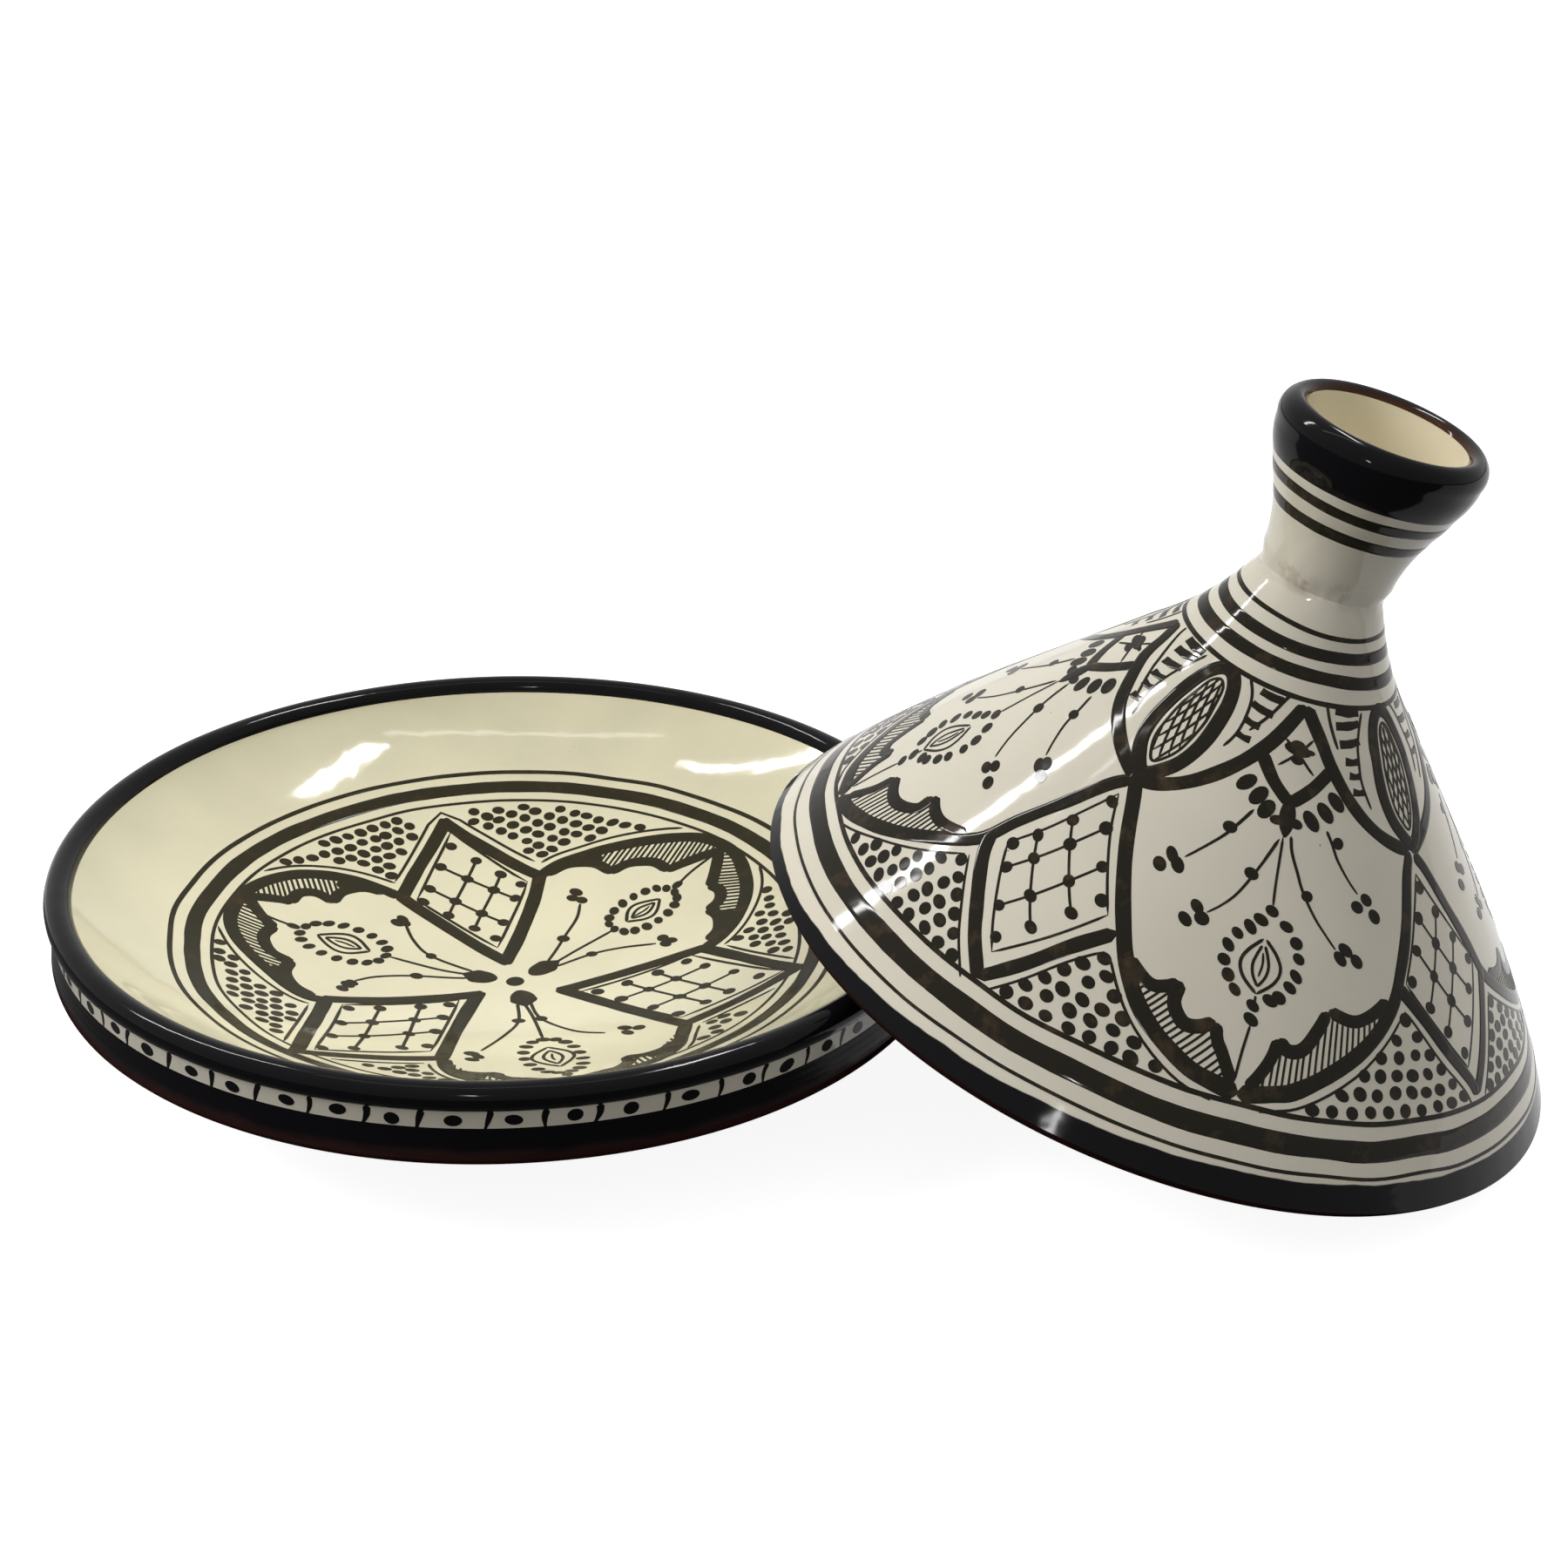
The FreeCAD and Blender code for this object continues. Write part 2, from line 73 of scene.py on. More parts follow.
def arc_points(start, end, radius, left, pace):
    """Points after start on the arc to end whose centre is on the left or right of the way there."""
    (x0, z0), (x1, z1) = start, end
    half = math.hypot(x1 - x0, z1 - z0) / 2
    rise = math.sqrt(max(radius * radius - half * half, 0.0))
    side = 1 if left else -1
    cx = (x0 + x1) / 2 - side * rise * (z1 - z0) / (2 * half)
    cz = (z0 + z1) / 2 + side * rise * (x1 - x0) / (2 * half)
    first = math.atan2(z0 - cz, x0 - cx)
    sweep = 2 * math.asin(min(half / radius, 1.0)) * side
    count = max(2, math.ceil(abs(sweep) * radius / pace), math.ceil(abs(sweep) / FACET_TURN))
    turns = [first + sweep * i / count for i in range(1, count)]
    return [(cx + radius * math.cos(turn), cz + radius * math.sin(turn)) for turn in turns] + [end]


def walk(corners, pace=PACE):
    """Dense points along an outline of corners (x, z) or (x, z, radius, left)."""
    points = [tuple(corners[0][:2])]
    for corner in corners[1:]:
        start, end = points[-1], tuple(corner[:2])
        if len(corner) == 4:
            points += arc_points(start, end, corner[2], corner[3], pace)
        else:
            count = max(1, math.ceil(math.dist(start, end) / pace))
            points += [between(start, end, i / count) for i in range(1, count + 1)]
    return points


def between(start, end, share):
    """The point a share of the way from start to end."""
    return start[0] + (end[0] - start[0]) * share, start[1] + (end[1] - start[1]) * share


def inward(points, depth):
    """The outline moved sideways to its left by depth, which is into the clay."""
    moved = []
    for i, (x, z) in enumerate(points):
        x0, z0 = points[max(i - 1, 0)]
        x1, z1 = points[min(i + 1, len(points) - 1)]
        run = math.hypot(x1 - x0, z1 - z0)
        radius = max(x - depth * (z1 - z0) / run, 0.0) if x > ON_AXIS else 0.0
        moved.append((radius, z + depth * (x1 - x0) / run))
    return moved


# Corners of an outline are (x, z), or (x, z, radius, left) at the end of an arc, in millimetres.
FLOOR_Z = 13.9
FLOOR_CURVE = 283.0
BOWL_BEND = 112.0
BOWL_BEND_Z = FLOOR_Z + FLOOR_CURVE - math.sqrt(FLOOR_CURVE**2 - BOWL_BEND**2)
BOWL = [(0, FLOOR_Z), (BOWL_BEND, BOWL_BEND_Z, FLOOR_CURVE, True), (141.0, 56.8, 95.0, True)]
DISH_LIP = [(141.0, 56.8), (145.5, 61.3, 4.5, False), (148.2, 53.2, 4.5, False)]
DISH_BAND = [(148.2, 53.2), (147.8, 47.3)]
DISH_DARK = [(147.8, 47.3), (148.9, 41.0), (149.0, 38.6)]
DISH_UNDER = [
    (149.2, 37.6), (146.2, 34.6, 3.0, False), (86.0, 11.0, 130.0, True), (80.0, 1.0), (79.0, 0.0),
    (71.0, 0.0), (70.0, 1.0), (68.0, 4.0), (0.0, 4.0),
]
RIM = [(134.3, 4.6), (129.3, 12.2)]
CONE = [
    (129.3, 12.2), (80.6, 70.0, 600.0, True), (46.2, 107.0), (21.9, 140.3, 105.0, False),
    (20.0, 145.0, 12.0, False),
]
SPIGOT = [(14.0, 145.0), (14.0, 149.0)]
NECK_SLIP = [(19.4, 145.0), (20.3, 149.0)]
SLIP_MIDDLE = 147.5
SMUDGE_MIDDLE = 147.8
KNOB_SIDE = [(20.0, 145.0), (20.9, 149.0, 14.0, False), (27.5, 172.0, 60.0, False), (30.2, 178.9)]
KNOB_SWELL = (32.9, 189.0, 25.0, True)
KNOB_LIP = [(30.2, 178.9), KNOB_SWELL, (29.2, 197.2, 6.6, True), (25.7, 195.0, 3.6, True)]
KNOB_CUP = [(25.7, 195.0), (21.5, 174.0, 120.0, False), (0.0, 158.0, 22.45, False)]
LID_INSIDE = [(0.0, 125.0), (35.7, 107.0, 44.4, False), (70.1, 70.0), (123.1, 0.0, 600.0, False)]
LID_SEAT_EDGE = [(129.6, 0.0), (133.8, 4.6, 7.0, True)]


class Skin:
    """Surface of revolution that can be asked for a point and its outward normal."""

    def __init__(self, corners, key, out):
        self.points = walk(corners, FINE_PACE)
        self.key = key
        self.out = out
        if self.points[0][key] > self.points[-1][key]:
            self.points.reverse()
            self.out = -out

    def at(self, value):
        """Radius, height and normal where the radius or the height (the key) has the given value.

        Past its ends the outline runs on straight, for half a step at most.
        """
        points, key = self.points, self.key
        low, high = 0, len(points) - 1
        while high - low > 1:
            middle = (low + high) // 2
            if points[middle][key] <= value:
                low = middle
            else:
                high = middle
        (x0, z0), (x1, z1) = points[low], points[high]
        span = points[high][key] - points[low][key]
        share = min(max((value - points[low][key]) / span, -0.5), 1.5)
        run = math.hypot(x1 - x0, z1 - z0)
        normal = (-(z1 - z0) / run * self.out, (x1 - x0) / run * self.out)
        return x0 + (x1 - x0) * share, z0 + (z1 - z0) * share, normal


class FloorMap:
    """Inside of the dish, addressed by x and y from the dish's axis."""

    def __init__(self):
        self.skin = Skin(BOWL, 0, 1)

    def place(self, u, v):
        """Point of the floor and its outward normal."""
        radius = math.hypot(u, v)
        _, height, (out, up) = self.skin.at(radius)
        turn = Vector((u, v, 0)) / radius if radius > ON_AXIS else Vector((1, 0, 0))
        return Vector((u, v, height)), turn * out + Vector((0, 0, up))

    def level(self, u, v):
        """Direction from which the dabs of the floor are turned."""
        return Vector((1, 0, 0))

    def spread(self, u, v):
        """Millimetres on the floor for each millimetre of x and of y, near enough."""
        return 1.0, 1.0


class TurnMap:
    """Outside of a turned wall, addressed by the angle in degrees and the height."""

    def __init__(self, corners, out):
        self.skin = Skin(corners, 1, out)

    def place(self, u, v):
        """Point of the wall and its outward normal."""
        radius, height, (out, up) = self.skin.at(v)
        turn = Vector((math.cos(math.radians(u)), math.sin(math.radians(u)), 0))
        return turn * radius + Vector((0, 0, height)), turn * out + Vector((0, 0, up))

    def level(self, u, v):
        """Level direction along the wall."""
        return Vector((-math.sin(math.radians(u)), math.cos(math.radians(u)), 0))

    def spread(self, u, v):
        """Millimetres on the surface for a degree and for a millimetre of height."""
        radius, _, (out, _) = self.skin.at(v)
        return math.radians(radius), 1.0 / max(abs(out), FLATTEST_WALL)


FLOOR = FloorMap()
DISH_WALL = TurnMap(DISH_BAND, 1)
LID_WALL = TurnMap(RIM + CONE[1:] + KNOB_SIDE[1:] + [KNOB_SWELL], -1)


# ---------------------------------------------------------------- brushwork

def spline(a, b, c, d, t):
    """One coordinate of the Catmull-Rom curve from b to c, a share t of the way."""
    return 0.5 * (
        2 * b + (c - a) * t + (2 * a - 5 * b + 4 * c - d) * t * t + (3 * b - a - 3 * c + d) * t**3)


def flow(points, closed=False, pace=6):
    """Smooth curve through control points, as a list of points."""
    count = len(points)
    if count == 2 and not closed:
        return [between(points[0], points[1], i / pace) for i in range(pace + 1)]
    result = []
    for i in range(count if closed else count - 1):
        if closed:
            p0, p1, p2, p3 = (points[(i + k) % count] for k in (-1, 0, 1, 2))
        else:
            p1, p2 = points[i], points[i + 1]
            p0 = points[i - 1] if i else (2 * p1[0] - p2[0], 2 * p1[1] - p2[1])
            p3 = points[i + 2] if i + 2 < count else (2 * p2[0] - p1[0], 2 * p2[1] - p1[1])
        for step in range(pace):
            result.append(tuple(spline(*values, step / pace) for values in zip(p0, p1, p2, p3)))
    result.append(tuple(points[0] if closed else points[-1]))
    return result


# The vector noise differs from run to run unless it is given a seed.
HAND_SEED = 3
SEED_STRIDE = 7.31
SHAKE_LENGTH = 24.0
WAVER_LENGTH = 9.0
WAVER = 0.09
SPOT_GAP = 0.35
BLUNT_END = 0.25
TAPER_LENGTH = 4
DAB_TURN = 14


class Brush:
    """Collects strokes and dabs in surface coordinates, with the shake of a hand.

    A stroke's half width wavers by WAVER of itself, its ends are blunt or taper over TAPER_LENGTH half
    widths, and a dab is turned by up to DAB_TURN degrees either way.
    """

    def __init__(self, surface, seed, shake):
        self.surface = surface
        self.random = random.Random(seed)
        noise.seed_set(HAND_SEED)
        self.seed = seed * SEED_STRIDE
        self.shake = shake
        self.strokes = []
        self.dabs = []

    def drift(self, position):
        """Slow sideways shake of the hand at a place on the pot."""
        return noise.noise_vector(position / SHAKE_LENGTH + Vector((self.seed, 0, 0))) * self.shake

    def spot(self, u, v):
        """Point of the surface that the shaking hand hits, and the normal there."""
        position, normal = self.surface.place(u, v)
        shift = self.drift(position)
        return position + shift - normal * shift.dot(normal), normal

    def stroke(self, points, width, smooth=True, closed=False, ends=(1.0, 1.0), swell=None):
        """Lay a stroke through the points.

        The ends are the shares of full width that it starts and ends with, and swell gives its share of
        full width from the share of its length.
        """
        line = flow(points, closed) if smooth else list(points)
        if closed and not smooth:
            line.append(line[0])
        spots = thin_out([self.spot(u, v) for u, v in line], SPOT_GAP)
        total = sum((b[0] - a[0]).length for a, b in zip(spots, spots[1:]))
        if closed:
            spots.pop()
        made, run = [], 0.0
        for i, (position, normal) in enumerate(spots):
            if i:
                run += (position - spots[i - 1][0]).length
            waver = noise.noise(position / WAVER_LENGTH + Vector((0, self.seed, 0)))
            half = width / 2 * (1 + WAVER * waver)
            if swell:
                half *= swell(run / total)
            if not closed:
                for gone, share in ((run, ends[0]), (total - run, ends[1])):
                    blunt = share >= 1
                    reach = width / 2 * (1 if blunt else TAPER_LENGTH)
                    if gone < reach:
                        half *= max(BLUNT_END if blunt else share, math.sqrt(1 - (1 - gone / reach) ** 2))
            made.append((position, normal, half))
        if len(made) > 1:
            self.strokes.append((made, closed))

    def dab(self, u, v, long_half, short_half, angle=0.0, loose=0.12):
        """Lay one oval dab whose long axis is at an angle in degrees from the surface's level direction."""
        r = self.random
        position, normal = self.spot(u, v)
        level = self.surface.level(u, v)
        level = (level - normal * level.dot(normal)).normalized()
        upward = normal.cross(level)
        turn = math.radians(angle + r.uniform(-DAB_TURN, DAB_TURN))
        along = level * math.cos(turn) + upward * math.sin(turn)
        self.dabs.append((
            position, normal, along,
            long_half * (1 + r.uniform(-loose, loose)), short_half * (1 + r.uniform(-loose, loose)),
        ))


def thin_out(spots, least):
    """Drop spots that are closer together than least, but keep the last."""
    kept = [spots[0]]
    for spot in spots[1:-1]:
        if (spot[0] - kept[-1][0]).length >= least:
            kept.append(spot)
    if len(kept) > 1 and (spots[-1][0] - kept[-1][0]).length < least:
        kept.pop()
    return kept + [spots[-1]]


# ---------------------------------------------------------------- geometry trees

def feed(tree, socket, value):
    """Link an output to an input socket, or set the socket to a plain value."""
    if isinstance(value, bpy.types.NodeSocket):
        tree.links.new(value, socket)
    else:
        socket.default_value = value


def add(tree, kind, sockets=None, **settings):
    """Add a node, set its properties, and link or fill its inputs, which have names or numbers."""
    made = tree.nodes.new(kind)
    for key, value in settings.items():
        setattr(made, key, value)
    for key, value in (sockets or {}).items():
        feed(tree, made.inputs[key], value)
    return made


def maths(tree, operation, *values):
    """Result of one sum on numbers or outputs."""
    return add(tree, "ShaderNodeMath", dict(enumerate(values)), operation=operation).outputs[0]


def vector_maths(tree, operation, *values, out=0):
    """Result of one sum on vectors or outputs."""
    return add(tree, "ShaderNodeVectorMath", dict(enumerate(values)), operation=operation).outputs[out]


def scaled(tree, vector, share):
    """A vector times a number."""
    return add(tree, "ShaderNodeVectorMath", {0: vector, "Scale": share}, operation="SCALE").outputs[0]


def part_of(tree, vector, axis):
    """The X, Y or Z of a vector."""
    return add(tree, "ShaderNodeSeparateXYZ", {"Vector": vector}).outputs[axis]


def near_height(tree, position, middle, reach):
    """One at a height on the pot, and less above and below it, down to nothing at the reach."""
    above = maths(tree, "SUBTRACT", part_of(tree, position, "Z"), middle * MM)
    away = maths(tree, "DIVIDE", above, reach * MM)
    return maths(tree, "MAXIMUM", maths(tree, "SUBTRACT", 1.0, maths(tree, "MULTIPLY", away, away)), 0.0)


def new_tree(name, inputs):
    """Start a geometry tree with named inputs, and return it with its input node."""
    tree = bpy.data.node_groups.new(name, "GeometryNodeTree")
    tree.interface.new_socket(name="Geometry", in_out="INPUT", socket_type="NodeSocketGeometry")
    for label, kind, default in inputs:
        socket = tree.interface.new_socket(name=label, in_out="INPUT", socket_type=kind)
        if default is not None:
            socket.default_value = default
    tree.interface.new_socket(name="Geometry", in_out="OUTPUT", socket_type="NodeSocketGeometry")
    return tree, tree.nodes.new("NodeGroupInput")


def attribute(tree, name, kind):
    """Read a named attribute."""
    return add(tree, "GeometryNodeInputNamedAttribute", {"Name": name}, data_type=kind).outputs["Attribute"]


def wander(tree, position, scale, rise):
    """Noise about nothing in every direction, with a share of it along the upright axis."""
    clouds = add(tree, "ShaderNodeTexNoise", {"Vector": position, "Scale": scale, "Detail": 1.0})
    centred = vector_maths(tree, "SUBTRACT", clouds.outputs["Color"], (0.5, 0.5, 0.5))
    return vector_maths(tree, "MULTIPLY", centred, (1.0, 1.0, rise))


LUMP_REACH = 6.5
LUMP_DEPTH = 0.0022
FIRM_SLOPE = 40.0
LEVEL_ENOUGH = 0.00000002
HAND_INPUTS = [
    ("Material", "NodeSocketMaterial", None),
    ("Looseness", "NodeSocketFloat", 0.0004),
    ("Seed", "NodeSocketFloat", 1.0),
]
PAINT_INPUTS = [("Body", "NodeSocketFloat", 0.0001), ("Sink", "NodeSocketFloat", 0.0003)] + HAND_INPUTS


def lumps(tree, position):
    """Offset that makes the thumbed slip round the lid's neck uneven."""
    depth = maths(tree, "MULTIPLY", near_height(tree, position, SLIP_MIDDLE, LUMP_REACH), LUMP_DEPTH)
    return scaled(tree, wander(tree, position, 110.0, 0.3), depth)


def end_tree(tree, source, geometry):
    """Keep the pot's own coordinates, loosen the shape by hand, realize, set the material and put it out.

    What stands on the ground stays where it is, and the looseness is full from 1 / FIRM_SLOPE metres up.
    """
    hand = source.outputs
    kept = add(tree, "GeometryNodeRealizeInstances", {"Geometry": geometry})
    position = add(tree, "GeometryNodeInputPosition").outputs[0]
    kept = add(
        tree, "GeometryNodeStoreNamedAttribute",
        {"Geometry": kept.outputs[0], "Name": "pot", "Value": position}, data_type="FLOAT_VECTOR",
    )
    loose = wander(tree, vector_maths(tree, "ADD", position, hand["Seed"]), 9.0, 0.6)
    grounded = maths(tree, "MINIMUM", maths(tree, "MULTIPLY", part_of(tree, position, "Z"), FIRM_SLOPE), 1.0)
    strength = maths(tree, "MULTIPLY", maths(tree, "MULTIPLY", hand["Looseness"], 2.0), grounded)
    offset = vector_maths(tree, "ADD", scaled(tree, loose, strength), lumps(tree, position))
    moved = add(tree, "GeometryNodeSetPosition", {"Geometry": kept.outputs[0], "Offset": offset})
    real = add(tree, "GeometryNodeRealizeInstances", {"Geometry": moved.outputs[0]})
    painted = add(
        tree, "GeometryNodeSetMaterial", {"Geometry": real.outputs[0], "Material": hand["Material"]})
    add(tree, "NodeGroupOutput", {0: painted.outputs[0]})


def turned_tree():
    """Revolve an outline, given as a chain of vertices, about the upright axis."""
    tree, source = new_tree("Turned pot", [("Steps", "NodeSocketInt", 288)] + HAND_INPUTS)
    chain = source.outputs["Geometry"]
    size = add(tree, "GeometryNodeAttributeDomainSize", {"Geometry": chain}, component="MESH")
    count = size.outputs["Point Count"]
    grid = add(
        tree, "GeometryNodeMeshGrid",
        {"Size X": 1.0, "Size Y": 1.0, "Vertices X": maths(tree, "ADD", source.outputs["Steps"], 1.0),
         "Vertices Y": count},
    )
    flat = add(tree, "ShaderNodeSeparateXYZ", {"Vector": grid.outputs["UV Map"]})
    last = maths(tree, "SUBTRACT", count, 1.0)
    row = maths(tree, "ROUND", maths(tree, "MULTIPLY", flat.outputs["Y"], last))
    position = add(tree, "GeometryNodeInputPosition").outputs[0]
    spot = add(
        tree, "GeometryNodeSampleIndex", {"Geometry": chain, "Value": position, "Index": row},
        data_type="FLOAT_VECTOR", domain="POINT",
    )
    section = add(tree, "ShaderNodeSeparateXYZ", {"Vector": spot.outputs[0]})
    angle = maths(tree, "MULTIPLY", flat.outputs["X"], math.tau)
    ring = add(
        tree, "ShaderNodeCombineXYZ",
        {"X": maths(tree, "MULTIPLY", section.outputs["X"], maths(tree, "COSINE", angle)),
         "Y": maths(tree, "MULTIPLY", section.outputs["X"], maths(tree, "SINE", angle)),
         "Z": section.outputs["Z"]},
    )
    turned = add(
        tree, "GeometryNodeSetPosition", {"Geometry": grid.outputs["Mesh"], "Position": ring.outputs[0]})
    closed = add(tree, "GeometryNodeMergeByDistance", {"Geometry": turned.outputs[0], "Distance": 0.000002})
    end_tree(tree, source, closed.outputs[0])


def stroke_tree():
    """Sweep a flat brush mark along chains of vertices that carry a surface normal and a half width."""
    tree, source = new_tree("Brush strokes", PAINT_INPUTS)
    line = add(tree, "GeometryNodeMeshToCurve", {"Mesh": source.outputs["Geometry"]}).outputs[0]
    up = attribute(tree, "up", "FLOAT_VECTOR")
    position = add(tree, "GeometryNodeInputPosition").outputs[0]
    line = add(
        tree, "GeometryNodeStoreNamedAttribute", {"Geometry": line, "Name": "middle", "Value": position},
        data_type="FLOAT_VECTOR", domain="POINT",
    ).outputs[0]
    line = add(tree, "GeometryNodeSetCurveNormal", {"Curve": line, "Normal": up}, mode="FREE").outputs[0]
    half = attribute(tree, "half", "FLOAT")
    line = add(tree, "GeometryNodeSetCurveRadius", {"Curve": line, "Radius": half}).outputs[0]
    section = add(tree, "GeometryNodeCurvePrimitiveCircle", {"Resolution": 12, "Radius": 1.0}, mode="RADIUS")
    swept = add(
        tree, "GeometryNodeCurveToMesh",
        {"Curve": line, "Profile Curve": section.outputs[0], "Fill Caps": True},
    )
    if "Scale" in swept.inputs:
        tree.links.new(half, swept.inputs["Scale"])
    middle = attribute(tree, "middle", "FLOAT_VECTOR")
    away = vector_maths(tree, "SUBTRACT", position, middle)
    height = vector_maths(tree, "DOT_PRODUCT", away, up, out="Value")
    level = vector_maths(tree, "SUBTRACT", away, scaled(tree, up, height))
    top = maths(tree, "GREATER_THAN", height, LEVEL_ENOUGH)
    under = maths(tree, "LESS_THAN", height, -LEVEL_ENOUGH)
    lift = maths(
        tree, "SUBTRACT", maths(tree, "MULTIPLY", top, source.outputs["Body"]),
        maths(tree, "MULTIPLY", under, source.outputs["Sink"]),
    )
    placed = vector_maths(tree, "ADD", vector_maths(tree, "ADD", middle, level), scaled(tree, up, lift))
    flat = add(tree, "GeometryNodeSetPosition", {"Geometry": swept.outputs[0], "Position": placed})
    end_tree(tree, source, flat.outputs[0])


def dab_tree():
    """Set an oval dab of paint on every point, lying on the surface."""
    tree, source = new_tree("Brush dabs", [("Sides", "NodeSocketInt", 14)] + PAINT_INPUTS)
    deep = maths(tree, "ADD", source.outputs["Body"], source.outputs["Sink"])
    drop = add(tree, "ShaderNodeCombineXYZ", {"Z": maths(tree, "MULTIPLY", source.outputs["Sink"], -1.0)})
    cone = add(
        tree, "GeometryNodeMeshCone",
        {"Vertices": source.outputs["Sides"], "Side Segments": 1, "Fill Segments": 1, "Radius Top": 0.93,
         "Radius Bottom": 1.0, "Depth": deep},
        fill_type="NGON",
    )
    sunk = add(
        tree, "GeometryNodeTransform", {"Geometry": cone.outputs["Mesh"], "Translation": drop.outputs[0]})
    facing = add(
        tree, "FunctionNodeAxesToRotation",
        {"Primary Axis": attribute(tree, "up", "FLOAT_VECTOR"),
         "Secondary Axis": attribute(tree, "along", "FLOAT_VECTOR")},
        primary_axis="Z", secondary_axis="X",
    )
    size = add(
        tree, "ShaderNodeCombineXYZ",
        {"X": attribute(tree, "long", "FLOAT"), "Y": attribute(tree, "short", "FLOAT"), "Z": 1.0},
    )
    dabs = add(
        tree, "GeometryNodeInstanceOnPoints",
        {"Points": source.outputs["Geometry"], "Instance": sunk.outputs[0], "Rotation": facing.outputs[0],
         "Scale": size.outputs[0]},
    )
    end_tree(tree, source, dabs.outputs[0])


# ---------------------------------------------------------------- meshes

def chain_mesh(name, chains, attributes):
    """Mesh of vertex chains; each chain is (points, closed) and attributes lists (name, type, values)."""
    points, edges = [], []
    for chain, closed in chains:
        first = len(points)
        points += [Vector(p) * MM for p in chain]
        edges += [(i, i + 1) for i in range(first, len(points) - 1)]
        if closed:
            edges.append((len(points) - 1, first))
    mesh = bpy.data.meshes.new(name)
    mesh.from_pydata(points, edges, [])
    for label, kind, values in attributes:
        layer = mesh.attributes.new(label, kind, "POINT")
        if kind == "FLOAT_VECTOR":
            layer.data.foreach_set("vector", [c for value in values for c in value])
        else:
            layer.data.foreach_set("value", values)
    return mesh


SHARP_EDGE = math.radians(38)


def make_piece(name, mesh, tree_name, material, pot, slot, nodes=(), **sizes):
    place, body, seed, loose = pot
    tree = bpy.data.node_groups[tree_name]
    inputs = {"Material": material, "Looseness": loose, "Seed": seed, **sizes}
    source = bpy.data.objects.new(name + "_source", mesh)
    bpy.context.scene.collection.objects.link(source)
    modifier = source.modifiers.new("Shape", "NODES")
    modifier.node_group = tree
    for item in tree.interface.items_tree:
        if item.item_type == "SOCKET" and item.in_out == "INPUT" and item.name in inputs:
            modifier[item.identifier] = inputs[item.name]
    graph = bpy.context.evaluated_depsgraph_get()
    result = bpy.data.meshes.new_from_object(source.evaluated_get(graph))
    result.name = name
    result.transform(place)
    tidy = bmesh.new()
    tidy.from_mesh(result)
    bmesh.ops.recalc_face_normals(tidy, faces=tidy.faces)
    tidy.to_mesh(result)
    tidy.free()
    result.shade_smooth()
    result.set_sharp_from_angle(angle=SHARP_EDGE)
    bpy.data.objects.remove(source)
    piece = bpy.data.objects.new(name, result)
    bpy.context.scene.collection.objects.link(piece)
    if not result.polygons:
        raise RuntimeError(name + " came out empty")
    if nodes:
        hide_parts(*nodes)
    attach(piece, body)


def turn_piece(name, points, material, pot, slot, nodes=()):
    """Lathe an outline that ends where it starts, or on the axis, into one of the pots."""
    steps = bpy.context.scene.tagine_shape.steps
    mesh = chain_mesh(name, [([(x, 0.0, z) for x, z in points], False)], [])
    make_piece(name, mesh, "Turned pot", material, pot, slot, nodes, Steps=steps)


def coat(corners, side):
    """Closed section of a coat of glaze, whose clay lies on the left (1) or right (-1) of its outline."""
    outer = walk(corners)
    return outer + inward(outer, side * COAT)[::-1] + outer[:1]


def paint_piece(name, brush, material, pot):
    """Turn a brush's strokes into one piece, and its dabs into another."""
    if brush.strokes:
        chains = [([spot[0] for spot in stroke], closed) for stroke, closed in brush.strokes]
        ups = [spot[1] for stroke, _ in brush.strokes for spot in stroke]
        halves = [spot[2] * MM for stroke, _ in brush.strokes for spot in stroke]
        mesh = chain_mesh(name, chains, [("up", "FLOAT_VECTOR", ups), ("half", "FLOAT", halves)])
        make_piece(name, mesh, "Brush strokes", material, pot, "dark_glaze")
    if brush.dabs:
        middles, ups, alongs, longs, shorts = zip(*brush.dabs)
        mesh = chain_mesh(name + "_dabs", [([middle], False) for middle in middles], [
            ("up", "FLOAT_VECTOR", ups), ("along", "FLOAT_VECTOR", alongs),
            ("long", "FLOAT", [v * MM for v in longs]), ("short", "FLOAT", [v * MM for v in shorts])])
        make_piece(name + "_dabs", mesh, "Brush dabs", material, pot, "dark_glaze")


# ---------------------------------------------------------------- motifs

THICK = 4.5
FINE = 0.9
THINNING = (1.0, 0.6)
FADING = (1.0, 0.5)
SHORTEST_HATCH = 1.2


def shifted(points, turn, flip=1):
    """Points of (degrees, height) set about an angle, and mirrored where flip is -1."""
    return [(turn + flip * u, v) for u, v in points]


def folded(points):
    """A closed outline from the half of it that starts and ends on the axis."""
    return points + [(-u, v) for u, v in points][::-1][1:-1]


def flat_gap(brush, point, line):
    """Shortest distance in millimetres from a place on a turned wall to a line on it."""
    wide, tall = brush.surface.spread(*point)
    return min(math.hypot((point[0] - u) * wide, (point[1] - v) * tall) for u, v in line)


def beside_line(brush, line, reach, towards):
    """The line moved sideways by some millimetres, to the side on which a place lies."""
    moved = []
    for i, (u, v) in enumerate(line):
        (u0, v0), (u1, v1) = line[max(i - 1, 0)], line[min(i + 1, len(line) - 1)]
        wide, tall = brush.surface.spread(u, v)
        run, rise = (u1 - u0) * wide, (v1 - v0) * tall
        away = reach / math.hypot(run, rise)
        if (towards[1] - v) * tall * run < (towards[0] - u) * wide * rise:
            away = -away
        moved.append((u - away * rise / wide, v + away * run / tall))
    return moved


def sides_of(corners):
    """Pairs of neighbouring corners round a closed outline."""
    return list(zip(corners, corners[1:] + corners[:1]))


def trefoil(brush, spots, tilt):
    """Three small dabs at the end of a stem."""
    for u, v in spots:
        brush.dab(u, v, 2.7, 2.0, tilt)


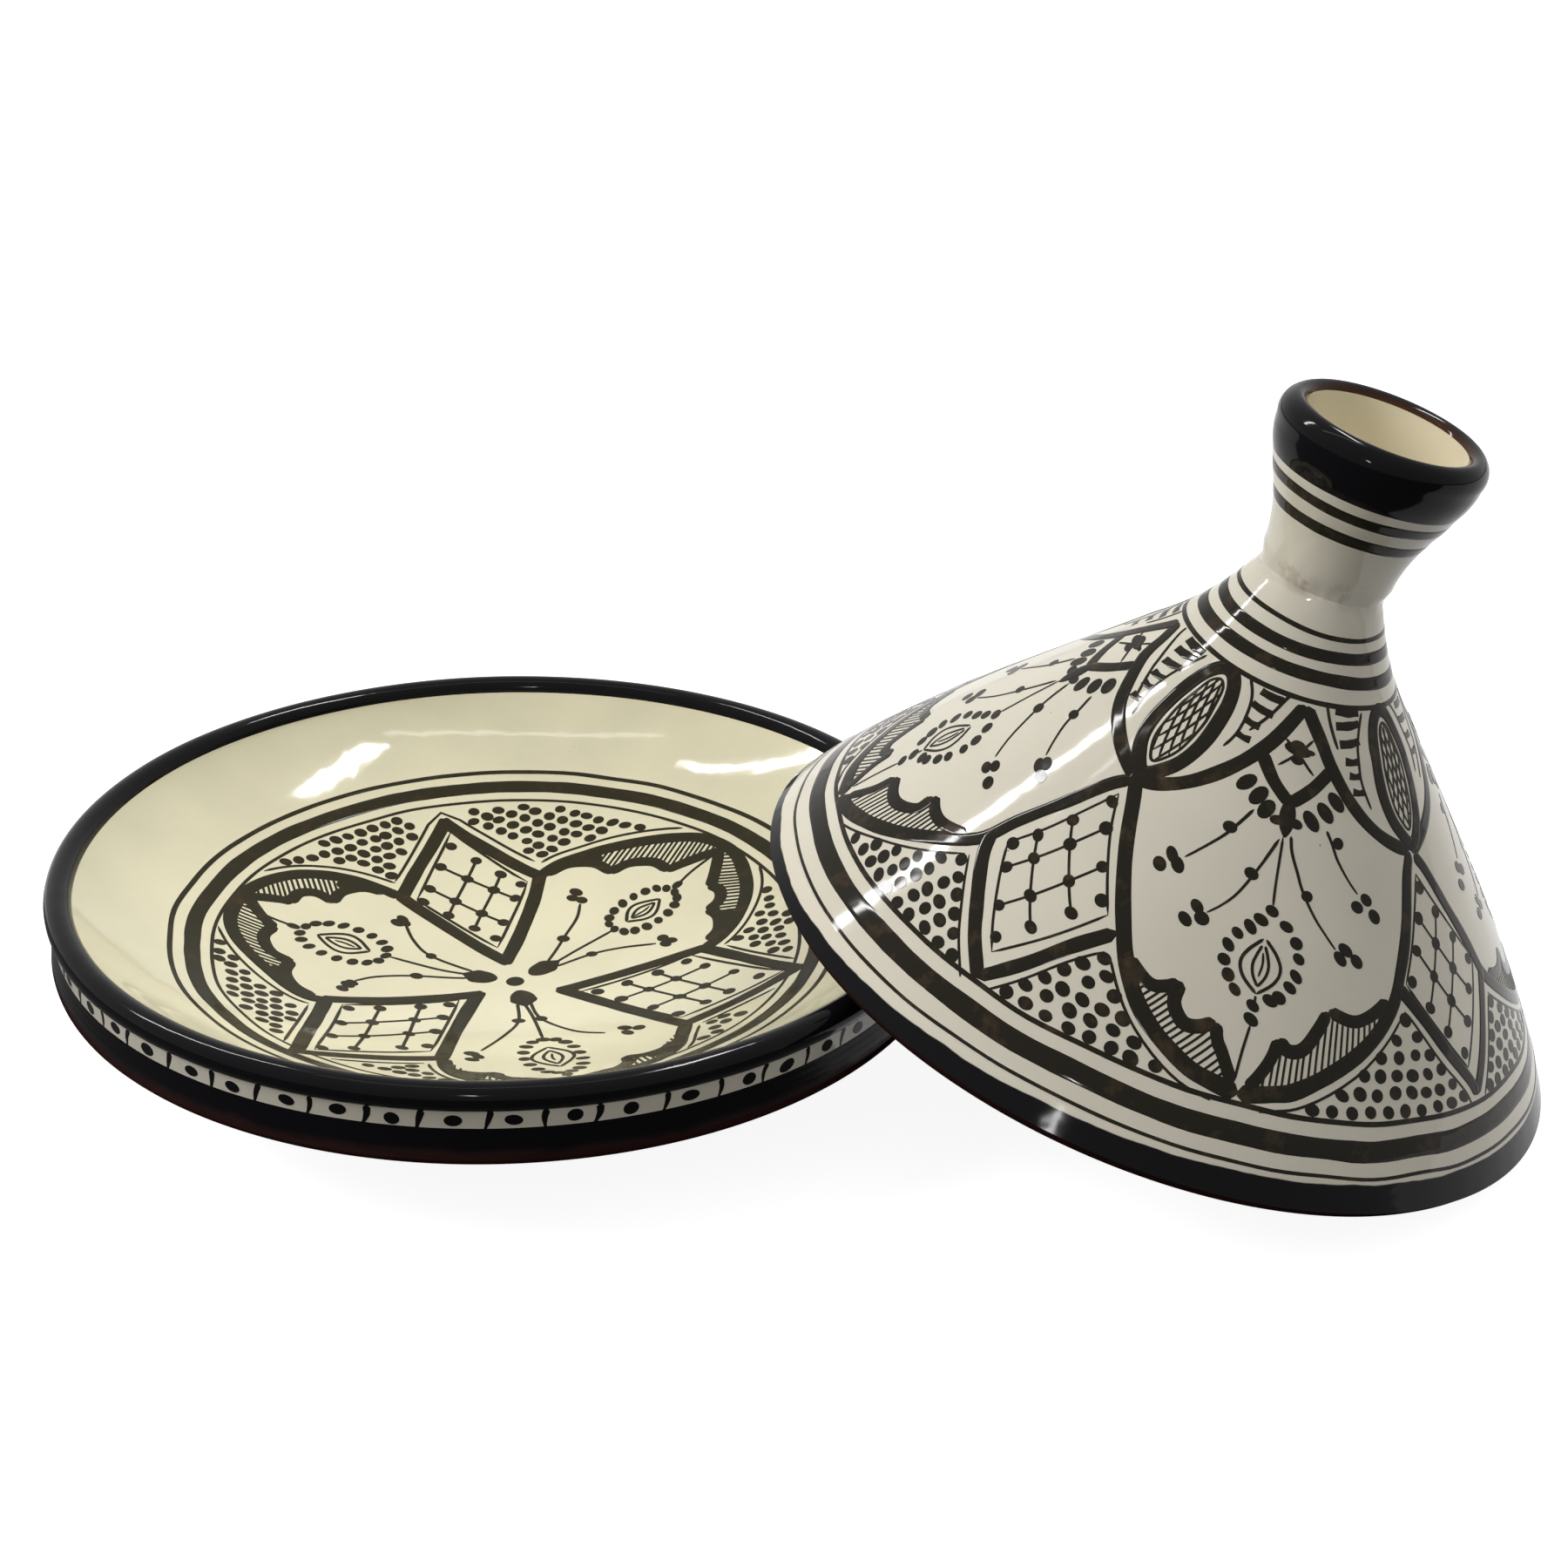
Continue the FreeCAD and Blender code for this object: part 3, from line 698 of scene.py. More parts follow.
NET = ((0.07, 0.35, 0.64, 0.92),) * 2
KNOT_TRIES = 3


def lattice(brush, corners, dot, fine, down, across):
    """Net of two lines each way with a dot on each of its sixteen knots, in a four-cornered field.

    Down and across each give the lines' shares on the first side and on the side opposite it.
    """
    a, b, c, d = corners

    def knot(i, j):
        s, t = down[0][i], across[0][j]
        for _ in range(KNOT_TRIES):
            s = down[0][i] * (1 - t) + down[1][i] * t
            t = across[0][j] * (1 - s) + across[1][j] * s
        return tuple(
            (1 - s) * (1 - t) * a[k] + s * (1 - t) * b[k] + s * t * c[k] + (1 - s) * t * d[k]
            for k in (0, 1))

    for line in (1, 2):
        brush.stroke([knot(line, j) for j in range(4)], fine, ends=THINNING)
        brush.stroke([knot(i, line) for i in range(4)], fine, ends=THINNING)
    for i in range(4):
        for j in range(4):
            brush.dab(*knot(i, j), dot, dot * 0.88, -30)


def hatch(brush, outline, slant, pitch, width):
    """Fine parallel strokes across a closed outline."""
    mid = tuple(sum(p[k] for p in outline) / len(outline) for k in (0, 1))
    wide, tall = brush.surface.spread(*mid)
    flat = [((u - mid[0]) * wide, (v - mid[1]) * tall) for u, v in outline]
    along = (math.cos(math.radians(slant)), math.sin(math.radians(slant)))
    across = (-along[1], along[0])
    spread = [(p[0] * across[0] + p[1] * across[1], p[0] * along[0] + p[1] * along[1]) for p in flat]
    level = min(p[0] for p in spread) + pitch * 0.6
    while level < max(p[0] for p in spread):
        cuts = []
        for (n0, t0), (n1, t1) in sides_of(spread):
            if (n0 <= level) != (n1 <= level):
                cuts.append(t0 + (t1 - t0) * (level - n0) / (n1 - n0))
        cuts.sort()
        for low, high in zip(cuts[::2], cuts[1::2]):
            if high - low > SHORTEST_HATCH:
                line = [
                    (mid[0] + (level * across[0] + t * along[0]) / wide,
                     mid[1] + (level * across[1] + t * along[1]) / tall)
                    for t in (low, high)
                ]
                brush.stroke(line, width, ends=FADING)
        level += pitch * (1 + brush.random.uniform(-0.12, 0.12))


def gap_to(point, lines):
    """Shortest distance from a point to the points of several lines."""
    return min(math.dist(point, q) for line in lines for q in line)


def inside(point, outline):
    """Whether a point lies inside a closed outline."""
    x, y = point
    result = False
    for (x0, y0), (x1, y1) in sides_of(outline):
        if (y0 > y) != (y1 > y) and x < x0 + (x1 - x0) * (y - y0) / (y1 - y0):
            result = not result
    return result


# ---------------------------------------------------------------- the dish's painting

HEART = (2.8, -4.9)
DISH_LINE = 5.2
DISH_FINE = 1.2
LOBE_LINE = 4.8
NARROW_BORDER = 9.0
DISH_RINGS = ((112.0, 1.9), (105.1, 5.8), (98.8, 1.3))
RING_FACETS = 240
TICK_HEIGHTS = (53.7, 50.4, 46.9)
DISH_DIAMONDS = [
    {
        "corners": [(-1.7, 9), (5.3, 60.5), (-32, 84.8), (-42.5, 42.2)], "bows": (0.6, -0.4, 0.3, 0.0),
        "field": [(-5.5, 17.5), (1, 57), (-29.5, 80.3), (-37, 42)],
        "down": ((0.11, 0.36, 0.73, 0.93), (0.02, 0.22, 0.55, 0.85)),
        "across": ((0.06, 0.31, 0.62, 0.93),) * 2,
    },
    {
        "corners": [(19.4, -11), (65.8, 7), (98.3, -23.5), (62.3, -48.2)], "bows": (1.4, 0.7, 0.0, -1.2),
        "field": [(25, -13), (61.8, 4), (94, -22.5), (61, -42)],
        "down": ((0.1, 0.36, 0.64, 0.9), (0.05, 0.32, 0.55, 0.87)),
        "across": ((0.08, 0.33, 0.66, 0.92), (0.08, 0.27, 0.58, 0.87)),
    },
    {
        "corners": [(-8.8, -14.6), (-56.8, -32.3), (-57.6, -83), (-14, -69.7)],
        "bows": (-0.4, 0.3, 0.0, -1.2),
        "field": [(-14.6, -20), (-51, -34.2), (-52.6, -77.5), (-18.6, -64)],
        "down": ((0.07, 0.32, 0.66, 0.93), (0.06, 0.28, 0.68, 0.95)),
        "across": ((0.07, 0.3, 0.57, 0.87), (0.07, 0.36, 0.65, 0.95)),
    },
]
DISH_PETALS = [
    {
        "bloom": (-57.2, 8.2), "ring": (14.8, 10.4), "leaf": 1.0, "tip": (-92, 21.3), "slants": (110, 172),
        "outline": [
            (-42.5, 42.2), (-50, 45), (-60, 46.6), (-70, 45.4), (-80, 41), (-89, 32), (-94.5, 20),
            (-95.3, 6), (-90, -7), (-80, -19), (-70, -28.7), (-62.5, -33.2), (-56.8, -32.3),
        ],
        "sides": [[(-49, 43.2), (-65.3, 32.2), (-78.5, 25.8)], [(-61.5, -31.5), (-72.3, -11), (-81, 8.5)]],
        "bows": [(0.24, 0.36, 0.05), (0.2, 0.27, 0.05)],
        "stems": [
            ([(-27.6, 8.8), (-34.2, 17.3), (-38.5, 27)], [(-41.2, 27), (-39.8, 29.6), (-38.6, 27.6)]),
            ([(-30.8, -5.8), (-43.2, -9.8), (-50, -15)], [(-50.8, -16.8), (-52, -18.6), (-53.3, -22.2)]),
        ],
    },
    {
        "bloom": (43.5, 37.6), "ring": (13.6, 9.0), "leaf": 0.86, "tip": (69.5, 64), "slants": (64, 170),
        "outline": [
            (5.3, 60.5), (12, 67), (20, 70.8), (30, 74.2), (40, 75.9), (50, 75.8), (60, 73.8), (68, 69.3),
            (75.3, 61), (79, 50), (80.2, 40), (79, 30), (75.5, 20), (71, 12.5), (65.8, 7),
        ],
        "sides": [[(8, 61.6), (31.2, 61.1), (51.2, 58.6)], [(67.5, 13), (67, 31.7), (67, 45.9)]],
        "bows": [(0.25, 0.27, 0.03), (0.2, 0.27, 0.03)],
        "stems": [
            ([(16.5, 23.1), (20.4, 35), (21, 44)], [(19, 51), (18, 47.6), (21.4, 46.2)]),
            ([(26.9, 12.4), (38, 15.6), (49, 15.6)], [(51.2, 18.6), (52.4, 14.4), (54.2, 16.2)]),
        ],
    },
    {
        "bloom": (21.3, -67.6), "ring": (18.0, 8.8), "leaf": 1.15, "tip": (28, -94), "slants": (95, 112),
        "outline": [
            (-14, -69.7), (-10.8, -80.5), (-4, -89.5), (8, -95), (27, -95), (42, -90), (54, -82),
            (60.2, -70), (61.4, -59), (62.3, -48.2),
        ],
        "sides": [[(-9.5, -81), (5, -84), (13, -91)], [(59, -64), (44.5, -73.5), (38, -88)]],
        "bows": [(0.12, 0.2, 0.05), (0.2, 0.25, 0.05)],
        "stems": [
            ([(6.8, -34.4), (3.4, -46), (-2.4, -60.5)], [(-5.2, -63.6), (-2.8, -66.2), (-4.4, -69.4)]),
            ([(14, -32.8), (25.6, -43.6), (36, -47.5)], [(42, -44.7), (43.2, -49.2), (46.6, -45.9)]),
        ],
    },
]


def bulge(start, end, share, away):
    """Points of a curve that bows to the side away from a place, by a share of its length."""
    (x0, y0), (x1, y1) = start, end
    mid = ((x0 + x1) / 2, (y0 + y1) / 2)
    nx, ny = -(y1 - y0), x1 - x0
    if (mid[0] - away[0]) * nx + (mid[1] - away[1]) * ny < 0:
        nx, ny = -nx, -ny
    low = share * 0.8
    return [
        start, (x0 * 0.76 + x1 * 0.24 + nx * low, y0 * 0.76 + y1 * 0.24 + ny * low),
        (mid[0] + nx * share, mid[1] + ny * share),
        (x0 * 0.24 + x1 * 0.76 + nx * low, y0 * 0.24 + y1 * 0.76 + ny * low), end,
    ]


def nearest(points, spot):
    """Index of the point that lies nearest to a spot."""
    return min(range(len(points)), key=lambda i: math.dist(points[i], spot))


def split_outline(outline, tip):
    """The two halves of a petal's outline, each from its diamond to the petal's tip."""
    dense = flow(outline, pace=5)
    turn = nearest(dense, tip)
    return dense[:turn + 1], dense[turn:][::-1]


def overshot(line, reach):
    """The line with its two ends drawn out by some millimetres."""
    first = between(line[0], line[1], -reach / math.dist(line[0], line[1]))
    last = between(line[-1], line[-2], -reach / math.dist(line[-1], line[-2]))
    return [first] + list(line) + [last]


def dish_petals(brush):
    """The three petals: outline, lobed border, hatched windows, and dabs where the border is narrow."""
    for petal in DISH_PETALS:
        brush.stroke(petal["outline"], DISH_LINE)
        halves = split_outline(petal["outline"], petal["tip"])
        for side, half, slant, bows in zip(petal["sides"], halves, petal["slants"], petal["bows"]):
            ends = side + [petal["tip"]]
            lobes = [
                flow(bulge(a, b, share, petal["bloom"]), pace=4)
                for a, b, share in zip(ends, ends[1:], bows)
            ]
            for lobe in lobes:
                brush.stroke(overshot(lobe, 0.8), LOBE_LINE, smooth=False)
            rim = [p for p in half if math.dist(p, side[0]) > NARROW_BORDER]
            for p in lobes[0][3:-3:2]:
                q = half[nearest(half, p)]
                if math.dist(p, q) < NARROW_BORDER:
                    brush.dab(*between(p, q, 0.5), 2.6, 2.4)
            field = rim + lobes[2][::-1] + lobes[1][::-1] + lobes[0][len(lobes[0]) // 2:][::-1]
            hatch(brush, field, slant, 1.9, 1.0)


def dish_diamonds(brush):
    """The three netted diamonds between the petals."""
    for diamond in DISH_DIAMONDS:
        corners, field = diamond["corners"], diamond["field"]
        centre = tuple(sum(c[k] for c in corners) / 4 for k in (0, 1))
        for (a, b), bow in zip(sides_of(corners), diamond["bows"]):
            side = flow(bulge(a, b, bow / math.dist(a, b), centre), pace=4)
            brush.stroke(overshot(side, DISH_LINE / 2), DISH_LINE, smooth=False)
        for a, b in sides_of(field):
            brush.stroke([a, b], DISH_FINE)
        lattice(brush, field, 2.4, DISH_FINE, diamond["down"], diamond["across"])


RING_DOTS = 17
RING_FULLNESS = 0.85


def bud(share):
    """Width of the bud's stroke along its length: it swells, and then closes to a point."""
    return 0.72 + 0.45 * share if share < 0.6 else 2.5 - 2.5 * share


def dish_flowers(brush):
    """Bud, stems and the almond flower in a ring of dots, in each petal."""
    brush.dab(HEART[0], HEART[1], 3.7, 3.5)
    for petal in DISH_PETALS:
        bloom, (long_half, wide_half) = petal["bloom"], petal["ring"]
        angle = math.atan2(bloom[1] - HEART[1], bloom[0] - HEART[0])
        axis = math.degrees(angle)
        along, left = (math.cos(angle), math.sin(angle)), (-math.sin(angle), math.cos(angle))

        def at(a, b):
            return HEART[0] + a * along[0] + b * left[0], HEART[1] + a * along[1] + b * left[1]

        centre = math.dist(bloom, HEART)
        brush.stroke([at(6.6, 0), at(13, 0.3), at(20, 0)], 9.6, swell=bud)
        brush.stroke([at(17, 0), at(28, 0.6), at(centre - long_half - 1, 0)], DISH_FINE, ends=THINNING)
        for line, dabs in petal["stems"]:
            side = 1 if (line[0][0] - HEART[0]) * left[0] + (line[0][1] - HEART[1]) * left[1] > 0 else -1
            brush.stroke([at(15, side * 2)] + line, DISH_FINE, ends=THINNING)
            brush.dab(*line[0], 2.3, 2.0, -20)
            trefoil(brush, dabs, -35)
        for k in range(RING_DOTS):
            turn = math.tau * k / RING_DOTS
            wide = math.copysign(abs(math.sin(turn)) ** RING_FULLNESS, math.sin(turn))
            brush.dab(*at(centre - long_half * math.cos(turn), wide_half * wide), 2.5, 1.8, axis + 60)
        for reach, width, line in ((9.3, 5.8, 1.3), (6.4, 2.6, 1.2)):
            reach, width = reach * petal["leaf"], width * petal["leaf"]
            for side in (1, -1):
                brush.stroke([
                    at(centre - reach, 0), at(centre - reach * 0.45, side * width * 0.8),
                    at(centre, side * width), at(centre + reach * 0.45, side * width * 0.7),
                    at(centre + reach, 0)], line)
        brush.stroke([at(centre - 4, 0.2), at(centre, -0.3), at(centre + 3, 0)], 0.9, ends=(0.5, 0.5))
        brush.dab(*at(centre + long_half + 3.2, 0), 2.4, 1.9, axis)
        top, end = centre + long_half, math.dist(HEART, petal["tip"]) - 1
        brush.stroke([at(top + 4, 0), at(top + 11, 0.5), at(end, 0)], DISH_FINE)


FIELD_RADII = (50.0, 96.3)
FIELD_BORDER = 4.9
FIELD_BORDER_GAP = 4.55
FIELD_BORDER_RADIUS = 98.3
SHORTEST_BORDER = 4
DOT_PITCH = 5.25
DOT_ROWS = 22
DOT_TURN = math.radians(40)
DOT_STRAY = 0.4
DOT_GAP = 6.95
SIDE_STEPS = 14


def beside_point(line, i, reach):
    """Spot at a distance beside a point of a line, on the side that is away from the dish's middle."""
    (x, y), (x0, y0), (x1, y1) = line[i], line[max(i - 1, 0)], line[min(i + 1, len(line) - 1)]
    away = reach / (math.hypot(x1 - x0, y1 - y0) or 1.0)
    spots = [(x - s * away * (y1 - y0), y + s * away * (x1 - x0)) for s in (1, -1)]
    return max(spots, key=lambda spot: math.hypot(*spot))


def dish_fields(brush):
    """Dots between the petals, the diamonds and the ring, and the fine lines that bound them."""
    petals = [flow(petal["outline"]) for petal in DISH_PETALS]
    diamonds = [
        [between(a, b, i / SIDE_STEPS) for a, b in sides_of(diamond["corners"]) for i in range(SIDE_STEPS)]
        for diamond in DISH_DIAMONDS
    ]
    thick = petals + diamonds
    bodies = [line + [HEART] for line in petals] + diamonds

    def bare(spot, gap):
        return gap_to(spot, thick) >= gap and not any(inside(spot, body) for body in bodies)

    for line in petals + [diamond[SIDE_STEPS:3 * SIDE_STEPS] for diamond in diamonds]:
        spots = [beside_point(line, i, FIELD_BORDER) for i in range(len(line))]
        free = [bare(spot, FIELD_BORDER_GAP) and math.hypot(*spot) < FIELD_BORDER_RADIUS for spot in spots]
        for is_free, run in itertools.groupby(zip(free, spots), key=lambda pair: pair[0]):
            run = [spot for _, spot in run]
            if is_free and len(run) >= SHORTEST_BORDER:
                brush.stroke(run, DISH_FINE, smooth=False)
    across, along = math.cos(DOT_TURN), math.sin(DOT_TURN)
    for row in range(-DOT_ROWS, DOT_ROWS + 1):
        for column in range(-DOT_ROWS, DOT_ROWS + 1):
            x, y = (column + 0.5 * (row % 2)) * DOT_PITCH, row * DOT_PITCH * 0.9
            spot = (
                x * across - y * along + brush.random.uniform(-DOT_STRAY, DOT_STRAY),
                x * along + y * across + brush.random.uniform(-DOT_STRAY, DOT_STRAY))
            if FIELD_RADII[0] < math.hypot(*spot) < FIELD_RADII[1] and bare(spot, DOT_GAP):
                brush.dab(*spot, 2.4, 2.05, brush.random.uniform(-25, 25))


def ring(brush, radius, width):
    """A closed ring on the dish's floor."""
    turns = [math.tau * i / RING_FACETS for i in range(RING_FACETS)]
    points = [(radius * math.cos(turn), radius * math.sin(turn)) for turn in turns]
    brush.stroke(points, width, smooth=False, closed=True)


def dish_wall_marks(brush, cells):
    """Leaning ticks round the dish's cream band, with a dot between each two."""
    vary = brush.random.uniform
    step = 360.0 / cells
    for cell in range(cells):
        edge = -180.0 + (cell + vary(-0.12, 0.12)) * step
        lean, bow = vary(0.2, 0.9), vary(-0.25, 0.35)
        brush.stroke(
            [(edge + lean / 2, TICK_HEIGHTS[0]), (edge + bow, TICK_HEIGHTS[1]),
             (edge - lean / 2, TICK_HEIGHTS[2])],
            1.7 + vary(-0.3, 0.5), ends=(1.0, 0.7), swell=lambda t: 1.2 - 0.5 * t)
        dot = edge + step * (0.5 + vary(-0.1, 0.1))
        brush.dab(dot, 50.2 + vary(-0.4, 0.4), 2.8, 2.1, vary(-14, 14))


# ---------------------------------------------------------------- the lid's painting

BROAD = {
    "arch": [(0.5, 117), (5.6, 112.6), (9.6, 108), (18.4, 101.3), (26.4, 95), (37, 89.4), (47, 85.2)],
    "side": [
        (46.5, 84.5), (42.6, 80), (37.7, 70), (33.6, 60.5), (30.5, 51.6), (23, 43.2), (13.7, 34.8),
        (6, 29.4), (0, 27.6),
    ],
    "lobes": [
        [(28.3, 50.5), (23.2, 48), (19.5, 47.9), (15.5, 50)],
        [(15.3, 49.5), (15.4, 45.4), (13.2, 42.7), (10.4, 41.1), (7.5, 41.2), (3.9, 42.8)],
        [(3.9, 42.5), (3.6, 37), (2.5, 33), (1.2, 29.5)],
    ],
    "edge": [(8.8, 118.4), (10.4, 115.8), (18, 108.6), (27.2, 99.4)],
}
ROUND = {
    "arch": [(0.5, 117), (7.9, 110.6), (13.1, 104.6), (21.5, 96.4), (29.9, 90.7), (37.9, 87), (42.3, 86.2)],
    "side": [
        (42, 85.5), (38.8, 80), (35.5, 70), (31.4, 60), (27.8, 51.5), (20, 41.3), (9.8, 32.2), (5.4, 30),
        (0, 28.2),
    ],
    "lobes": [
        [(27, 53.5), (22.5, 50), (18.9, 48.8), (14, 50.8)],
        [(13.8, 50.5), (12.3, 46.5), (9.8, 41.4), (7.2, 40.4), (5.3, 42.7)],
        [(5.2, 42.5), (4.5, 38), (2.7, 33), (1.2, 29.8)],
    ],
    "edge": [(9.9, 118.4), (11.9, 114.6), (15.6, 108.8)],
}
SLIM = {
    "arch": [(0.5, 117), (6, 112), (13, 105.4), (23, 95.8), (30, 90), (37, 86.3), (43, 85.2)],
    "side": [
        (43, 87), (37.3, 78.7), (31.2, 66.5), (26.2, 55.7), (22.2, 47.4), (16.9, 39.1), (8.6, 31.3),
        (4, 29.3), (0, 28.4),
    ],
    "lobes": [
        [(22.7, 49), (17.6, 45.6), (14.8, 46.4), (12.9, 48.2)],
        [(12.7, 48.5), (12.7, 43.7), (10.6, 40.2), (8.3, 40.3), (5.7, 42.6)],
        [(5.5, 42.5), (4.9, 39), (3.5, 36), (1, 30)],
    ],
    "edge": [(9.4, 118.4), (11.5, 116.6), (15.1, 112.6), (20.3, 107.4)],
}
LID_PETALS = ((-178.0, ROUND, BROAD), (-88.9, SLIM, ROUND), (1.5, BROAD, BROAD), (91.5, SLIM, BROAD))
APEX_FOOT = [(13.5, 104), (9.1, 100.5), (5.9, 98.1), (0, 94.4)]
ALMOND_TURNS = (-130.7, -44.3, 48.5, 138.8)
ALMOND = [
    (0, 87), (5, 91), (7.7, 95), (9.5, 100), (10, 105), (9.5, 110), (7.4, 114.1), (4, 116.8), (0, 117.6),
]
ALMOND_HEART = [
    (0, 90.5), (2.6, 92.8), (4.6, 96.2), (5.6, 101), (5.9, 105), (5, 109), (3.4, 113), (0, 114.6),
]
ALMOND_ARCS = {
    1: [(11.5, 118.4), (15, 115.8), (17, 113), (18, 109), (17.9, 105.8), (17, 103.4), (15.8, 101.4)],
    -1: [(13.9, 117.4), (17.1, 113), (19.1, 109), (19.3, 104.2), (18.3, 101), (15.5, 96.2)],
}
ALMOND_DASHES = {
    1: [
        (18.6, 116.8, 29.8, 116.4), (17.4, 113.4, 27.8, 112.6), (18, 109.4, 24.6, 109),
        (17.8, 105.6, 23.4, 105.3),
    ],
    -1: [
        (16, 117.3, 29.9, 117.3), (16.4, 114.8, 29.5, 113.8), (17.6, 111, 27.9, 109.9),
        (19.4, 106.7, 25.7, 106.4), (19.1, 103.5, 24.1, 103.3), (17.7, 99.9, 22.7, 99.7),
    ],
}
EARLY = {
    "turn": -131.4, "field": [(-0.2, 80), (13.4, 55.5), (0.9, 34.2), (-10.9, 56)],
    "down": ((0.05, 0.29, 0.61, 0.87), (0.03, 0.25, 0.6, 0.88)),
    "across": ((0.05, 0.41, 0.73, 0.95), (0.05, 0.3, 0.66, 0.97)),
    "left": [(-15, 55.4), (-12.4, 50), (-6.1, 40), (-3.1, 35), (0.1, 30), (1.6, 27.3)],
    "right": [(16.4, 53), (10.7, 45), (5.5, 35), (1.4, 27.4)],
}
LATE = {
    "turn": -45.5, "field": [(-0.7, 80.5), (13.5, 57.5), (2.1, 34.5), (-11.1, 57)],
    "down": NET, "across": NET,
    "left": [(-13.3, 56.6), (-8.6, 50), (-2.9, 40), (0.1, 35), (2.2, 31), (3.3, 27.5)],
    "right": [(16, 54), (11.5, 45), (7, 35), (3.2, 27.5)],
}
LID_DIAMONDS = (EARLY, LATE, dict(EARLY, turn=48.5), dict(LATE, turn=137.5))
LID_RINGS = (
    (135.9, 1.4), (130.5, 3.3), (124.4, 3.5), (118.6, 1.3), (26.1, 1.3), (20.0, 5.0), (13.3, 0.9),
    (166.4, 4.0), (174.3, 3.5),
)
STRIPE_SWAY = 0.25
STEMS_LEFT = [
    ([(9.9, 91), (12.7, 86.2), (14.7, 83), (18.7, 78), (21.1, 75)], (14.1, 85.2),
     [(23.7, 74.3), (21.8, 72.8), (25.2, 71.2)]),
    ([(1.1, 86.2), (4.6, 78.7), (8.1, 71.7), (10.7, 67.8), (12.8, 65.2)], (6, 77),
     [(15, 65.7), (13.3, 63.5), (16.2, 62)]),
]
STEMS_RIGHT = [
    ([(1.9, 87.4), (2.8, 83.9), (5, 79.6), (6.7, 76.1), (10.2, 70.4), (12.8, 67), (15, 64.3)], (8, 74.9),
     [(17.3, 64.5), (16.1, 62.5), (19.9, 62.3)]),
    ([(12.1, 90.2), (13.9, 87.4), (15.5, 84.2), (18.7, 79.8), (21.1, 77)], (15.7, 87.8),
     [(23.5, 75.8), (20.7, 74.2), (25.4, 72.2)]),
]
STEMS_BROAD = [
    ([(3.6, 89), (6.4, 82.2), (9.6, 75.8), (12.2, 71), (15.3, 66.4)], (7.4, 80.2),
     [(17.8, 65.2), (16.7, 63.4), (20.9, 61.7)]),
    ([(15.2, 92.2), (17.6, 87.8), (19.2, 83.8), (22, 79.4), (24.4, 75.8)], (18, 86.3),
     [(26.6, 74.6), (25.5, 73.1), (28.5, 71.6)]),
]
APEX_DABS = ((-0.6, 106.9, 4.3, 1.9), (-0.8, 108, 2.4, 1.5), (0, 104.6, 2.3, 1.6), (4.7, 106.9, 1.6, 0.8))
APEX_RAYS = ((-6.7, 108.6), (5.3, 109.8), (-6.7, 102.3), (6.9, 101.9))
SHOULDER_DABS = (
    (-14.7, 96.2, 48), (-9.9, 94.4, 48), (-6.5, 92, 52), (7.2, 91.7, -62), (11.5, 94.1, -57),
    (15.2, 96.8, -56),
)
BLOOM_DOTS = (
    (0.5, 70.2), (-1.6, 67.8), (-3.5, 65.6), (-5.7, 63.3), (-6.8, 60), (-6.8, 56.5), (-5.4, 53.6),
    (-3.7, 51), (4.1, 67.4), (6.5, 64.1), (7.2, 60.8), (6.9, 56.9), (5.9, 54.3), (4.1, 51.7), (2.6, 50.7),
    (-0.2, 48.7), (-0.1, 45.6),
)
LID_SPRAYS = (
    (STEMS_LEFT, STEMS_BROAD), (STEMS_LEFT, STEMS_RIGHT), (STEMS_RIGHT, STEMS_BROAD),
    (STEMS_LEFT, STEMS_RIGHT))


def lid_rings(brush):
    """The level stripes round the cone and the knob."""
    for height, tall in LID_RINGS:
        _, slope = brush.surface.spread(0, height)
        points = [
            (turn, height + STRIPE_SWAY * math.sin(math.radians(turn * 2 + height * 40)))
            for turn in range(0, 360, 2)
        ]
        brush.stroke(points, tall * slope, smooth=False, closed=True)


def lid_petals(brush):
    """Arches, petals with their lobed borders, and the feet of the apex lozenges."""
    for turn, left, right in LID_PETALS:
        for flip, side in ((-1, left), (1, right)):
            brush.stroke(shifted(side["arch"], turn, flip), THICK)
            brush.stroke(shifted(side["side"], turn, flip), THICK, swell=lambda t: 0.97 + 0.2 * t)
            brush.stroke(shifted(APEX_FOOT, turn, flip), THICK * 0.92)
            lobes = [flow(lobe, pace=5) for lobe in side["lobes"]]
            for lobe, width in zip(lobes, (4.0, 4.3, 3.9)):
                brush.stroke(shifted(lobe, turn, flip), width, smooth=False)
            border = flow(side["side"], pace=5)
            first = nearest(border, lobes[0][0])
            field = border[first:] + lobes[2][::-1] + lobes[1][::-1] + lobes[0][::-1]
            hatch(brush, shifted(field, turn, flip), 87 if flip > 0 else 55, 1.95, 0.8)


def lid_almonds(brush):
    """The pointed almonds with their crossed nets, the arcs beside them and the rows of dabs."""
    for turn in ALMOND_TURNS:
        brush.stroke(shifted(folded(ALMOND), turn), THICK * 1.03, closed=True)
        heart = flow(folded(ALMOND_HEART), closed=True, pace=4)
        brush.stroke(shifted(heart, turn), 1.0, smooth=False, closed=True)
        for slant in (73, 107):
            hatch(brush, shifted(heart, turn), slant, 2.4, 0.9)
        for flip in (1, -1):
            brush.stroke(shifted(ALMOND_ARCS[flip], turn, flip), 1.0, ends=FADING)
            for first, low, last, high in ALMOND_DASHES[flip]:
                dash = [(first, low), ((first + last) / 2, (low + high) / 2 - 0.2), (last, high)]
                brush.stroke(shifted(dash, turn, flip), 3.4, ends=(0.7, 0.8))
    for turn, left, right in LID_PETALS:
        for flip, side in ((-1, left), (1, right)):
            brush.stroke(shifted(side["edge"], turn, flip), 1.1, ends=FADING)


